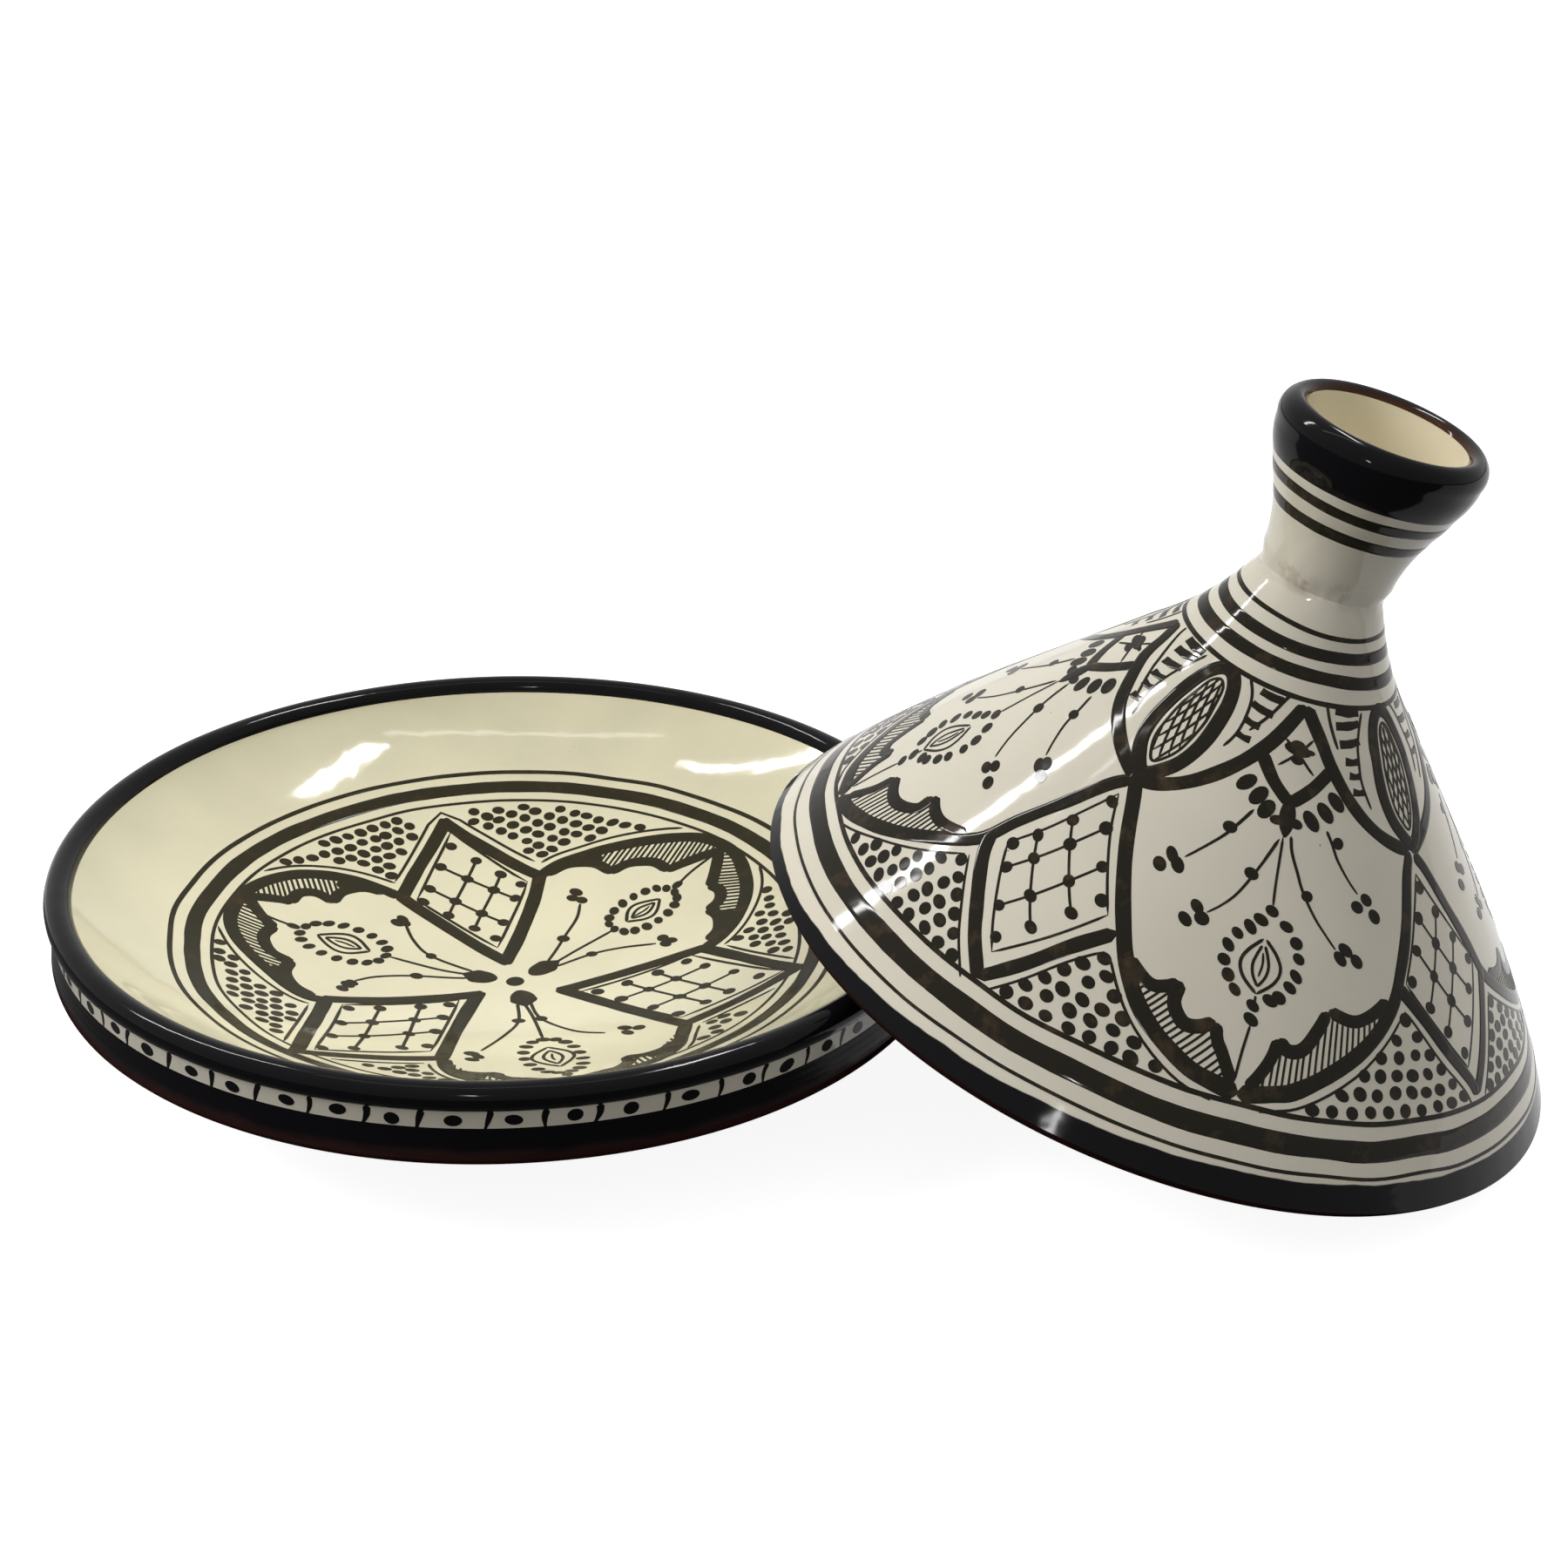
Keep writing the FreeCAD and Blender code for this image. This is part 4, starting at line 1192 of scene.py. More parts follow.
def lid_diamonds(brush):
    """The diamonds below the almonds: their lower sides, fine borders and nets."""
    for diamond in LID_DIAMONDS:
        turn = diamond["turn"]
        for side in ("left", "right"):
            brush.stroke(shifted(diamond[side], turn), THICK, swell=lambda t: 1.04 - 0.08 * t)
        corners = shifted(diamond["field"], turn)
        for a, b in sides_of(corners):
            brush.stroke([a, between(a, b, 0.5), b], FINE)
        lattice(brush, corners, 2.3, FINE, diamond["down"], diamond["across"])


def lid_flowers(brush):
    """Apex flower, bud, dabs, five stems and the almond flower in a ring of dots, in each petal."""
    for (turn, _, _), sprays in zip(LID_PETALS, LID_SPRAYS):
        def at(u, v):
            return turn + u, v

        for u, v, long_half, short_half in APEX_DABS:
            brush.dab(*at(u, v), long_half, short_half, 0)
        for u, v in APEX_RAYS:
            brush.stroke([at(0, 106.2), at(u, v)], FINE)
        brush.stroke(
            [at(0, 96.6), at(0, 91.5), at(0.2, 86.8)], 9.0, ends=(0.3, 0.1),
            swell=lambda t: 0.45 + 0.55 * math.sin(math.pi * min(t / 1.15, 1.0)) ** 0.7)
        for flip in (-1, 1):
            brush.dab(*at(flip * 2.9, 90.3), 2.4, 1.8, 0)
        for u, v, tilt in SHOULDER_DABS:
            brush.dab(*at(u, v), 3.7, 2.4, tilt, loose=0.06)
        brush.stroke([at(-0.2, 87), at(0.2, 77), at(0.5, 71.5)], FINE, ends=THINNING)
        for flip, stems in zip((-1, 1), sprays):
            for line, knot, end in stems:
                stem = shifted(line, turn, flip)
                brush.stroke(stem, FINE * 1.1, ends=FADING, swell=lambda t: 1.15 - 0.4 * t)
                brush.dab(turn + flip * knot[0], knot[1], 2.25, 1.85, -12)
                trefoil(brush, shifted(end, turn, flip), -36)
        for u, v in BLOOM_DOTS:
            brush.dab(*at(u, v), 2.5, 1.8, -32)
        for low, high, width, line in ((51.4, 63.7, 3.8, 1.1), (53, 62.2, 1.5, 1.0)):
            mid = (low + high) / 2
            for side in (-1, 1):
                brush.stroke(
                    [at(0, low), at(side * width * 0.75, (low + mid) / 2), at(side * width, mid),
                     at(side * width * 0.72, (high + mid) / 2), at(side * 0.3, high)], line)
        brush.stroke([at(0.1, 60.6), at(0.3, 58), at(-0.1, 55.2)], 0.8, ends=(0.5, 0.5))
        brush.stroke([at(0, 51), at(0, 49)], FINE)
        brush.stroke([at(0, 44.5), at(-0.4, 38), at(-0.6, 31)], FINE)


SCAN_TURN = 0.25
SCAN_DROP = 0.5
SCAN_ROWS = 52
CORNER_TOP = 54.0
CORNER_FOOT = 28.3
CORNER_ROWS = 6
CORNER_PITCH = 6.9
CORNER_GAP = 6.5
BORDER_REACH = 4.7
BORDER_GAP = 4.1
BORDER_FOOT = 25.4
BORDER_RISE = 3.4


def across_at(line, height):
    """Where a line of falling heights crosses a height."""
    for (u0, v0), (u1, v1) in zip(line, line[1:]):
        if v1 <= height <= v0:
            return u0 + (u1 - u0) * (v0 - height) / (v0 - v1)
    return line[-1][0] if height < line[-1][1] else line[0][0]


def lid_fields(brush):
    """The dotted corners below the petals, with their fine borders."""
    count = len(LID_DIAMONDS)
    for k, diamond in enumerate(LID_DIAMONDS):
        before, after = LID_PETALS[k], LID_PETALS[(k + 1) % count]
        whole = 360 if k == count - 1 else 0
        for side, border in (
                ("left", shifted(before[2]["side"], before[0])),
                ("right", shifted(after[1]["side"], after[0] + whole, -1))):
            border, foot = flow(border, pace=5), flow(shifted(diamond[side], diamond["turn"]), pace=5)
            ends = sorted((border[-1][0], foot[-1][0]))

            def reach(u, v):
                return min(flat_gap(brush, (u, v), border), flat_gap(brush, (u, v), foot))

            def amid(u, v):
                return (u - across_at(border, v)) * (u - across_at(foot, v)) < 0

            turns = [ends[0] + SCAN_TURN * i for i in range(int((ends[1] - ends[0]) / SCAN_TURN))]
            heights = [CORNER_TOP - SCAN_DROP * i for i in range(SCAN_ROWS)]
            rows = [(v, [u for u in turns if reach(u, v) > CORNER_GAP and amid(u, v)]) for v in heights]
            top = max((v for v, clear in rows if clear), default=CORNER_FOOT)
            mid = ((border[-1][0] + foot[-1][0]) / 2, 31.0)
            for line in (border, foot):
                fine = [
                    (u, v) for u, v in beside_line(brush, line, BORDER_REACH, mid)
                    if BORDER_FOOT < v < top + BORDER_RISE and reach(u, v) > BORDER_GAP
                ]
                if len(fine) > 2:
                    brush.stroke(fine, FINE, smooth=False, ends=THINNING)
            for step in range(CORNER_ROWS):
                height = CORNER_FOOT + (top - CORNER_FOOT) * step / (CORNER_ROWS - 1)
                clear = min(rows, key=lambda row: abs(row[0] - height))[1]
                if not clear:
                    continue
                wide = brush.surface.spread(0, height)[0]
                gaps = round((clear[-1] - clear[0]) * wide / CORNER_PITCH)
                for i in range(gaps + 1):
                    u = clear[0] + (clear[-1] - clear[0]) * (i / gaps if gaps else 0.5)
                    u, v = u + brush.random.uniform(-0.2, 0.2), height + brush.random.uniform(-0.3, 0.3)
                    brush.dab(u, v, 2.6, 2.1, -20)


# ---------------------------------------------------------------- finishes

# Refraction of each glaze: a lower one gives a fainter sheen.
CREAM_GLOSS = 1.48
BLACK_GLOSS = 1.26
DISH_PAINT_GLOSS = 1.15
LID_PAINT_GLOSS = 1.3
FADING_GLOSS = 1.22
GLAZE_ROUGHNESS = 0.08
RIM_SLOPE = (0.0151, 0.0087)
RIM_LEVEL = 10.0
RIM_BLUR = 0.15
TOOL_MARKS = 2600.0
WHITE = (1.0, 1.0, 1.0, 1.0)


def linear(*levels):
    """Linear colour from 0-255 display levels."""
    shares = [level / 255 for level in levels]
    return tuple(v / 12.92 if v <= 0.04045 else ((v + 0.055) / 1.055) ** 2.4 for v in shares)


def darker(tint, share):
    """The colour times a share."""
    return tuple(v * share for v in tint)


def colour(values):
    """A colour's red, green and blue with full cover."""
    return (*values, 1.0)


def begin_finish(name):
    """New material with its shader and the pot's own coordinates."""
    material = bpy.data.materials.new(name)
    material.use_nodes = True
    tree = material.node_tree
    shader = tree.nodes["Principled BSDF"]
    where = add(tree, "ShaderNodeAttribute", attribute_name="pot").outputs["Vector"]
    return material, tree, shader, where


def cloud(tree, where, scale, detail, roughness=0.5):
    """Noise from 0 to 1."""
    return add(
        tree, "ShaderNodeTexNoise",
        {"Vector": where, "Scale": scale, "Detail": detail, "Roughness": roughness}).outputs["Fac"]


def frayed(tree, value, where, scale, detail, reach):
    """A length that wanders by up to half the reach either way, so that an edge frays."""
    stray = maths(tree, "SUBTRACT", cloud(tree, where, scale, detail), 0.5)
    return maths(tree, "ADD", value, maths(tree, "MULTIPLY", stray, reach))


def share_between(tree, value, low, high, **settings):
    """How far a value has come from low to high, from 0 to 1."""
    sockets = {"Value": value, "From Min": low, "From Max": high}
    return add(tree, "ShaderNodeMapRange", sockets, **settings).outputs[0]


def ramp(tree, value, stops):
    """Colour that runs through the stops, each of them a place and a colour."""
    made = add(tree, "ShaderNodeValToRGB", {"Fac": value})
    for element, (place, tint) in zip(made.color_ramp.elements, stops):
        element.position = place
        element.color = colour(tint)
    return made.outputs["Color"]


def blend_colours(tree, share, first, second):
    """The first colour turning into the second as the share rises from 0 to 1."""
    return add(tree, "ShaderNodeMix", {0: share, 6: first, 7: second}, data_type="RGBA").outputs[2]


def bump(tree, shader, height, strength, distance):
    """Relief of a finish."""
    made = add(tree, "ShaderNodeBump", {"Height": height, "Strength": strength, "Distance": distance})
    tree.links.new(made.outputs[0], shader.inputs["Normal"])


def end_glaze(tree, shader, where, tint, gloss):
    """Give a glaze its colour and its glassy, faintly uneven skin."""
    tree.links.new(tint, shader.inputs["Base Color"])
    shader.inputs["Roughness"].default_value = GLAZE_ROUGHNESS
    shader.inputs["IOR"].default_value = gloss
    bump(tree, shader, cloud(tree, where, 65.0, 2.0), 0.10, 0.002)


def cream_finish(name, base, deep, iron):
    """Warm tin glaze: soft clouds of colour, iron specks, smudges at the neck, and a glassy skin."""
    material, tree, shader, where = begin_finish(name)
    clouds = ramp(tree, cloud(tree, where, 22.0, 4.0), [(0.32, deep), (0.66, base)])
    grain = maths(tree, "MULTIPLY", maths(tree, "SUBTRACT", cloud(tree, where, 900.0, 2.0), 0.4), 0.25)
    tint = blend_colours(tree, grain, clouds, colour(darker(base, 0.86)))
    tint = blend_colours(tree, specks(tree, where), tint, colour(iron))
    tint = blend_colours(tree, neck_smudges(tree, where), tint, colour(linear(138, 104, 84)))
    end_glaze(tree, shader, where, tint, CREAM_GLOSS)
    return material


def specks(tree, where):
    """One inside the few small round specks of iron in the glaze, and nothing elsewhere."""
    cells = add(
        tree, "ShaderNodeTexVoronoi", {"Vector": where, "Scale": 150.0, "Randomness": 1.0}, feature="F1")
    chance = add(tree, "ShaderNodeSeparateColor", {"Color": cells.outputs["Color"]}).outputs[0]
    near = maths(tree, "LESS_THAN", cells.outputs["Distance"], 0.045)
    return maths(tree, "MULTIPLY", near, maths(tree, "GREATER_THAN", chance, 0.93))


def neck_smudges(tree, where):
    """How much clay shows through the glaze in patches round the lid's neck."""
    near = near_height(tree, where, SMUDGE_MIDDLE, 5.0)
    patches = share_between(tree, cloud(tree, where, 95.0, 4.0, 0.6), 0.55, 0.75)
    return maths(tree, "MULTIPLY", maths(tree, "MULTIPLY", near, patches), 0.75)


def ink_finish(name, base, brown, gloss):
    """Brush-laid dark glaze: near black where it pools and olive brown where it is thin."""
    material, tree, shader, where = begin_finish(name)
    tint = ramp(tree, cloud(tree, where, 120.0, 4.0, 0.6), [(0.22, brown), (0.46, base)])
    end_glaze(tree, shader, where, tint, gloss)
    return material


def mouth_finish(name, ink, brown):
    """Dark glaze that turns brown and thin on the inner edge of the knob's mouth."""
    material, tree, shader, where = begin_finish(name)
    flat = vector_maths(tree, "MULTIPLY", where, (1.0, 1.0, 0.0))
    reach = frayed(tree, vector_maths(tree, "LENGTH", flat, out="Value"), where, 90.0, 2.0, 0.0016)
    share = share_between(tree, reach, 25.8 * MM, 28.0 * MM)
    end_glaze(tree, shader, where, blend_colours(tree, share, colour(brown), colour(ink)), BLACK_GLOSS)
    return material


def rim_finish(name, ink, cream):
    """Dark glaze up to a level that slopes round the lid's edge, and cream above it."""
    material, tree, shader, where = begin_finish(name)
    slope = maths(
        tree, "SUBTRACT", maths(tree, "MULTIPLY", part_of(tree, where, "X"), RIM_SLOPE[0]),
        maths(tree, "MULTIPLY", part_of(tree, where, "Y"), RIM_SLOPE[1]))
    level = maths(tree, "ADD", frayed(tree, slope, where, 70.0, 2.0, 0.0015), RIM_LEVEL * MM)
    above = maths(tree, "SUBTRACT", part_of(tree, where, "Z"), level)
    share = share_between(tree, above, -RIM_BLUR * MM, RIM_BLUR * MM)
    end_glaze(tree, shader, where, blend_colours(tree, share, colour(ink), colour(cream)), BLACK_GLOSS)
    return material


def clay_finish(name, base, deep):
    """Bare fired earthenware: sandy grain, darker blushes and turning marks."""
    material, tree, shader, where = begin_finish(name)
    tint = clay_colour(tree, where, base, deep)
    tree.links.new(tint, shader.inputs["Base Color"])
    shader.inputs["Roughness"].default_value = 0.8
    shader.inputs["Specular IOR Level"].default_value = 0.0
    bump(tree, shader, clay_relief(tree, where), 0.35, 0.0006)
    return material


def clay_colour(tree, where, base, deep):
    """Clouded clay with fine dark grit."""
    clouds = ramp(tree, cloud(tree, where, 30.0, 5.0, 0.6), [(0.3, deep), (0.7, base)])
    grit = maths(tree, "MULTIPLY", cloud(tree, where, 1500.0, 3.0, 0.7), 0.35)
    return blend_colours(tree, grit, clouds, colour(darker(base, 0.6)))


def clay_relief(tree, where):
    """Sandy grain with the level marks of the turning tool."""
    marks = maths(tree, "SINE", maths(tree, "MULTIPLY", part_of(tree, where, "Z"), TOOL_MARKS))
    grit = cloud(tree, where, 1200.0, 3.0, 0.7)
    return maths(tree, "ADD", maths(tree, "MULTIPLY", marks, 0.25), grit)


def fading_finish(name, ink, base, deep, top, foot):
    """Dark glaze that thins out over the bare clay between two heights."""
    material, tree, shader, where = begin_finish(name)
    height = frayed(tree, part_of(tree, where, "Z"), where, 55.0, 3.0, 0.006)
    fade = share_between(tree, height, foot * MM, top * MM, interpolation_type="SMOOTHSTEP")
    clay_tint = clay_colour(tree, where, base, deep)
    tree.links.new(blend_colours(tree, fade, clay_tint, colour(ink)), shader.inputs["Base Color"])
    rough = maths(tree, "SUBTRACT", 0.75, maths(tree, "MULTIPLY", fade, 0.58))
    tree.links.new(rough, shader.inputs["Roughness"])
    shader.inputs["IOR"].default_value = FADING_GLOSS
    bump(tree, shader, clay_relief(tree, where), 0.12, 0.0006)
    return material


def floor_finish(name, tint, glow):
    """Pale matt floor that gives off light by itself, so that it shows white."""
    material, tree, shader, _ = begin_finish(name)
    where = add(tree, "ShaderNodeTexCoord").outputs["Object"]
    faint = ramp(tree, cloud(tree, where, 6.0, 2.0), [(0.0, darker(tint, 0.985)), (1.0, tint)])
    tree.links.new(faint, shader.inputs["Base Color"])
    shader.inputs["Roughness"].default_value = 0.85
    shader.inputs["Specular IOR Level"].default_value = 0.15
    shader.inputs["Emission Color"].default_value = WHITE
    shader.inputs["Emission Strength"].default_value = glow
    return material


# ---------------------------------------------------------------- settings

class TagineColours(bpy.types.PropertyGroup):
    """Colours of the glazes, the paints and the clay"""
    # The dish's cream is its own warm tone, lightened as a painted sheen of the glaze.
    dish_cream: bpy.props.FloatVectorProperty(
        name="Dish cream", description="Glaze on the dish", subtype="COLOR", size=3, min=0, max=1,
        default=linear(238, 231, 197))
    lid_cream: bpy.props.FloatVectorProperty(
        name="Lid cream", description="Glaze on the lid", subtype="COLOR", size=3, min=0, max=1,
        default=linear(229, 222, 204))
    ink: bpy.props.FloatVectorProperty(
        name="Dark glaze", description="Dark bands and brushwork", subtype="COLOR", size=3, min=0, max=1,
        default=linear(17, 15, 18))
    # The dish's brushwork is its own olive brown, lightened by a painted sheen of the glaze over it.
    dish_ink_and_sheen: bpy.props.FloatVectorProperty(
        name="Dish brushwork", description="Paint on the dish's floor", subtype="COLOR", size=3,
        min=0, max=1, default=linear(55, 51, 37))
    lid_ink: bpy.props.FloatVectorProperty(
        name="Lid brushwork", description="Paint on the lid", subtype="COLOR", size=3, min=0, max=1,
        default=linear(36, 32, 22))
    ink_thin: bpy.props.FloatVectorProperty(
        name="Thin brushwork", description="Brushwork where the paint is thin", subtype="COLOR", size=3,
        min=0, max=1, default=linear(74, 60, 42))
    # The clay's red-brown is darkened as painted shade for the shaded undersides of the pots.
    clay: bpy.props.FloatVectorProperty(
        name="Clay", description="Bare earthenware", subtype="COLOR", size=3, min=0, max=1,
        default=linear(54, 33, 31))


class TagineShape(bpy.types.PropertyGroup):
    """How finely the pots are made, and how far they stray"""
    steps: bpy.props.IntProperty(
        name="Steps", description="Facets round each turned piece", default=288, min=48, max=512)
    dish_loose: bpy.props.FloatProperty(
        name="Dish looseness", description="How far the dish strays from a true round", default=0.0005,
        subtype="DISTANCE", unit="LENGTH", min=0, max=0.002)
    lid_loose: bpy.props.FloatProperty(
        name="Lid looseness", description="How far the lid strays from a true round", default=0.0005,
        subtype="DISTANCE", unit="LENGTH", min=0, max=0.002)
    wall_cells: bpy.props.IntProperty(
        name="Band cells", description="Cells painted round the dish's wall", default=54, min=12, max=90)
    shake: bpy.props.FloatProperty(
        name="Hand shake", description="Sideways stray of the painter's hand, in millimetres", default=0.7,
        min=0, max=2)


class TagineStudio(bpy.types.PropertyGroup):
    """Floor, lights and camera"""
    floor: bpy.props.FloatVectorProperty(
        name="Floor", description="Colour of the floor", subtype="COLOR", size=3, min=0, max=1,
        default=(0.55, 0.55, 0.55))
    glow: bpy.props.FloatProperty(
        name="Floor glow", description="Light that the pale floor gives off by itself", default=0.9,
        min=0, max=5)
    sky: bpy.props.FloatProperty(
        name="Sky", description="Strength of the dim light from all round", default=0.55, min=0, max=5)
    key: bpy.props.FloatProperty(
        name="Key", description="Power of the soft light at the front left", default=27.0, unit="POWER",
        min=0, max=500)
    fill: bpy.props.FloatProperty(
        name="Fill", description="Power of the soft light behind on the right", default=23.0, unit="POWER",
        min=0, max=500)
    strips: bpy.props.FloatProperty(
        name="Strips", description="Radiance of the strip lights that show in the glaze", default=50.0,
        min=0, max=200)
    table: bpy.props.FloatProperty(
        name="Table glow", description="Radiance of the table behind the pots, as the glaze shows it",
        default=0.75, min=0, max=5)
    lens: bpy.props.FloatProperty(
        name="Lens", description="Focal length of the camera in millimetres", default=62.44, min=20, max=200)


def tint_of(name):
    """One of the colour settings."""
    return tuple(getattr(bpy.context.scene.tagine_colours, name))


def dish_pot():
    """Place, body, seed and looseness of the dish."""
    return DISH_PLACE, "dish", 3.0, bpy.context.scene.tagine_shape.dish_loose


def lid_pot():
    """Place, body, seed and looseness of the lid."""
    return LID_PLACE, "lid", 11.0, bpy.context.scene.tagine_shape.lid_loose


def finish_of(name, maker, *values):
    """The named material, made the first time that it is asked for."""
    return bpy.data.materials.get(name) or maker(name, *values)


IRON_ON_DISH = linear(92, 74, 50)
IRON_ON_LID = linear(110, 84, 60)
MOUTH_BROWN = linear(70, 44, 30)
# Cream inside the knob's cup, made lighter than the lid's cream: painted light that lifts the shade in the
# hollow.
CUP_CREAM_PAINTED_LIGHT = (linear(234, 226, 200), linear(224, 214, 186))
CLAY_BLUSH = 0.72
SKIRT_GLAZE_TOP = 42.0
SKIRT_GLAZE_FOOT = 37.0


def dish_cream():
    """Cream glaze inside the dish: its own warm tone, made lighter than the lid's cream as a painted sheen
    of the glaze.
    """
    base = tint_of("dish_cream")
    return finish_of("dish_cream", cream_finish, base, darker(base, 0.9), IRON_ON_DISH)


def lid_cream():
    """Cream glaze of the lid and of the dish's band."""
    base = tint_of("lid_cream")
    return finish_of("lid_cream", cream_finish, base, darker(base, 0.93), IRON_ON_LID)


def cup_cream():
    """Cream glaze inside the knob's cup, lighter than the lid's cream as painted light in the cup's shaded
    hollow.
    """
    return finish_of("cup_cream", cream_finish, *CUP_CREAM_PAINTED_LIGHT, IRON_ON_LID)


def dark():
    """Black glaze of the dish's lip and of the marks on its band."""
    ink = tint_of("ink")
    return finish_of("black_glaze", ink_finish, ink, darker(ink, 1.2), BLACK_GLOSS)


def mouth():
    """Black glaze of the knob's lip."""
    return finish_of("mouth_glaze", mouth_finish, tint_of("ink"), MOUTH_BROWN)


def rim():
    """Black glaze of the lid's rim, with the cone's cream above it."""
    return finish_of("rim_glaze", rim_finish, tint_of("ink"), tint_of("lid_cream"))


def skirt():
    """Black glaze that fades out low on the dish's wall, onto clay darkened as painted shade."""
    base = tint_of("clay")
    return finish_of(
        "fading_glaze", fading_finish, tint_of("ink"), base, darker(base, CLAY_BLUSH),
        SKIRT_GLAZE_TOP, SKIRT_GLAZE_FOOT)


def dish_paint():
    """Paint on the dish's floor: its own olive brown, lightened by a painted sheen of the glaze over it."""
    return finish_of(
        "dish_brushwork", ink_finish, tint_of("dish_ink_and_sheen"), tint_of("ink_thin"), DISH_PAINT_GLOSS)


def lid_paint():
    """Paint on the lid."""
    return finish_of("lid_brushwork", ink_finish, tint_of("lid_ink"), tint_of("ink_thin"), LID_PAINT_GLOSS)


def clay():
    """Bare clay of both pots: its own red-brown, darkened as painted shade for the shaded undersides."""
    base = tint_of("clay")
    return finish_of("fired_clay", clay_finish, base, darker(base, CLAY_BLUSH))


# ---------------------------------------------------------------- operators

class TAGINE_OT_trees(bpy.types.Operator):
    """Make the trees that turn pots and lay strokes and dabs"""
    bl_idname = "tagine.trees"
    bl_label = "Potter's tools"

    def execute(self, context):
        turned_tree()
        stroke_tree()
        dab_tree()
        return {"FINISHED"}


class TAGINE_OT_dish(bpy.types.Operator):
    """Turn the dish's clay and its coats of glaze"""
    bl_idname = "tagine.dish"
    bl_label = "Dish"

    def execute(self, context):
        pot = dish_pot()
        skin = walk(BOWL + DISH_LIP[1:] + DISH_BAND[1:] + DISH_DARK[1:2])
        core = inward(skin, -COAT) + walk(DISH_DARK[2:] + DISH_UNDER)
        turn_piece("dish_clay", core, clay(), pot, "terracotta", ["dish_body"])
        for name, corners, finish, slot, node in (
                ("dish_bowl_coat", BOWL, dish_cream(), "cream_glaze", "dish_bowl_glaze"),
                ("dish_lip_coat", DISH_LIP, dark(), "dark_glaze", "dish_lip_glaze"),
                ("dish_band_coat", DISH_BAND, lid_cream(), "cream_glaze", "dish_wall_glaze")):
            turn_piece(name, coat(corners, -1), finish, pot, slot, [node])
        section = walk(DISH_DARK) + inward(walk(DISH_DARK[:2]), -COAT)[::-1] + DISH_DARK[:1]
        turn_piece("dish_skirt_coat", section, skirt(), pot, "dark_glaze")
        return {"FINISHED"}


class TAGINE_OT_dish_painting(bpy.types.Operator):
    """Paint the dish's floor and the band round its wall"""
    bl_idname = "tagine.dish_painting"
    bl_label = "Dish painting"

    def execute(self, context):
        pot, shake = dish_pot(), context.scene.tagine_shape.shake
        rings = Brush(FLOOR, 1, shake)
        for radius, width in DISH_RINGS:
            ring(rings, radius, width)
        paint_piece("dish_rings", rings, dish_paint(), pot)
        for name, painter, seed in (
                ("dish_petals", dish_petals, 2), ("dish_diamonds", dish_diamonds, 3),
                ("dish_flowers", dish_flowers, 4), ("dish_fields", dish_fields, 5)):
            brush = Brush(FLOOR, seed, shake)
            painter(brush)
            paint_piece(name, brush, dish_paint(), pot)
        wall = Brush(DISH_WALL, 6, shake * 0.4)
        dish_wall_marks(wall, context.scene.tagine_shape.wall_cells)
        paint_piece("dish_wall_marks", wall, dark(), pot)
        return {"FINISHED"}


class TAGINE_OT_lid(bpy.types.Operator):
    """Turn the lid's cone, the slip that joins it to the knob, the knob, and their coats of glaze"""
    bl_idname = "tagine.lid"
    bl_label = "Lid"

    def execute(self, context):
        pot = lid_pot()
        axis_top = (0.0, SPIGOT[1][1])
        cone = walk(LID_INSIDE + LID_SEAT_EDGE) + inward(walk(RIM + CONE[1:]), COAT)[1:]
        cone += walk(SPIGOT + [axis_top])
        turn_piece("lid_cone_clay", cone, clay(), pot, "terracotta", ["lid_cone"])
        slip = walk(SPIGOT[:1] + NECK_SLIP + SPIGOT[::-1])
        turn_piece("neck_slip", slip, clay(), pot, "terracotta", ["neck_slip_coil"])
        knob_skin = inward(walk(KNOB_SIDE[1:] + KNOB_LIP[1:] + KNOB_CUP[1:]), COAT)
        knob = walk([axis_top, NECK_SLIP[1]]) + knob_skin[1:]
        turn_piece("lid_knob_clay", knob, clay(), pot, "terracotta", ["lid_knob"])
        for name, corners, finish, slot, node in (
                ("lid_rim_coat", RIM, rim(), "dark_glaze", "lid_rim_glaze"),
                ("lid_cone_coat", CONE, lid_cream(), "cream_glaze", "lid_cone_glaze"),
                ("knob_side_coat", KNOB_SIDE, lid_cream(), "cream_glaze", "knob_side_glaze"),
                ("knob_lip_coat", KNOB_LIP, mouth(), "dark_glaze", "knob_lip_glaze"),
                ("knob_cup_coat", KNOB_CUP, cup_cream(), "cream_glaze", "knob_cup_glaze")):
            turn_piece(name, coat(corners, 1), finish, pot, slot, [node])
        return {"FINISHED"}


class TAGINE_OT_lid_painting(bpy.types.Operator):
    """Paint the cone and the knob"""
    bl_idname = "tagine.lid_painting"
    bl_label = "Lid painting"

    def execute(self, context):
        pot, shake = lid_pot(), context.scene.tagine_shape.shake
        for name, painter, seed in (
                ("lid_rings", lid_rings, 21), ("lid_petals", lid_petals, 22),
                ("lid_almonds", lid_almonds, 23), ("lid_diamonds", lid_diamonds, 24),
                ("lid_flowers", lid_flowers, 25), ("lid_fields", lid_fields, 26)):
            brush = Brush(LID_WALL, seed, shake)
            painter(brush)
            paint_piece(name, brush, lid_paint(), pot)
        return {"FINISHED"}


FLOOR_REACH = 8.0
FLOOR_DROP = 0.0002
FAR_SHARE = 0.12
TABLE_SPOT = (0.9, 1.35, 0.001)
TABLE_TURN = -0.44
TABLE_SIZE = (5.0, 3.3)
HORIZON = -0.04
GROUND_SHARE = 0.22
BEHIND_SHARE = 0.35
CAMERA_SPOT = (-5.62, -806.37, 476.9)
CAMERA_PITCH = 0.4486
CAMERA_TILT = -0.0233
SENSOR_WIDTH = 36.0


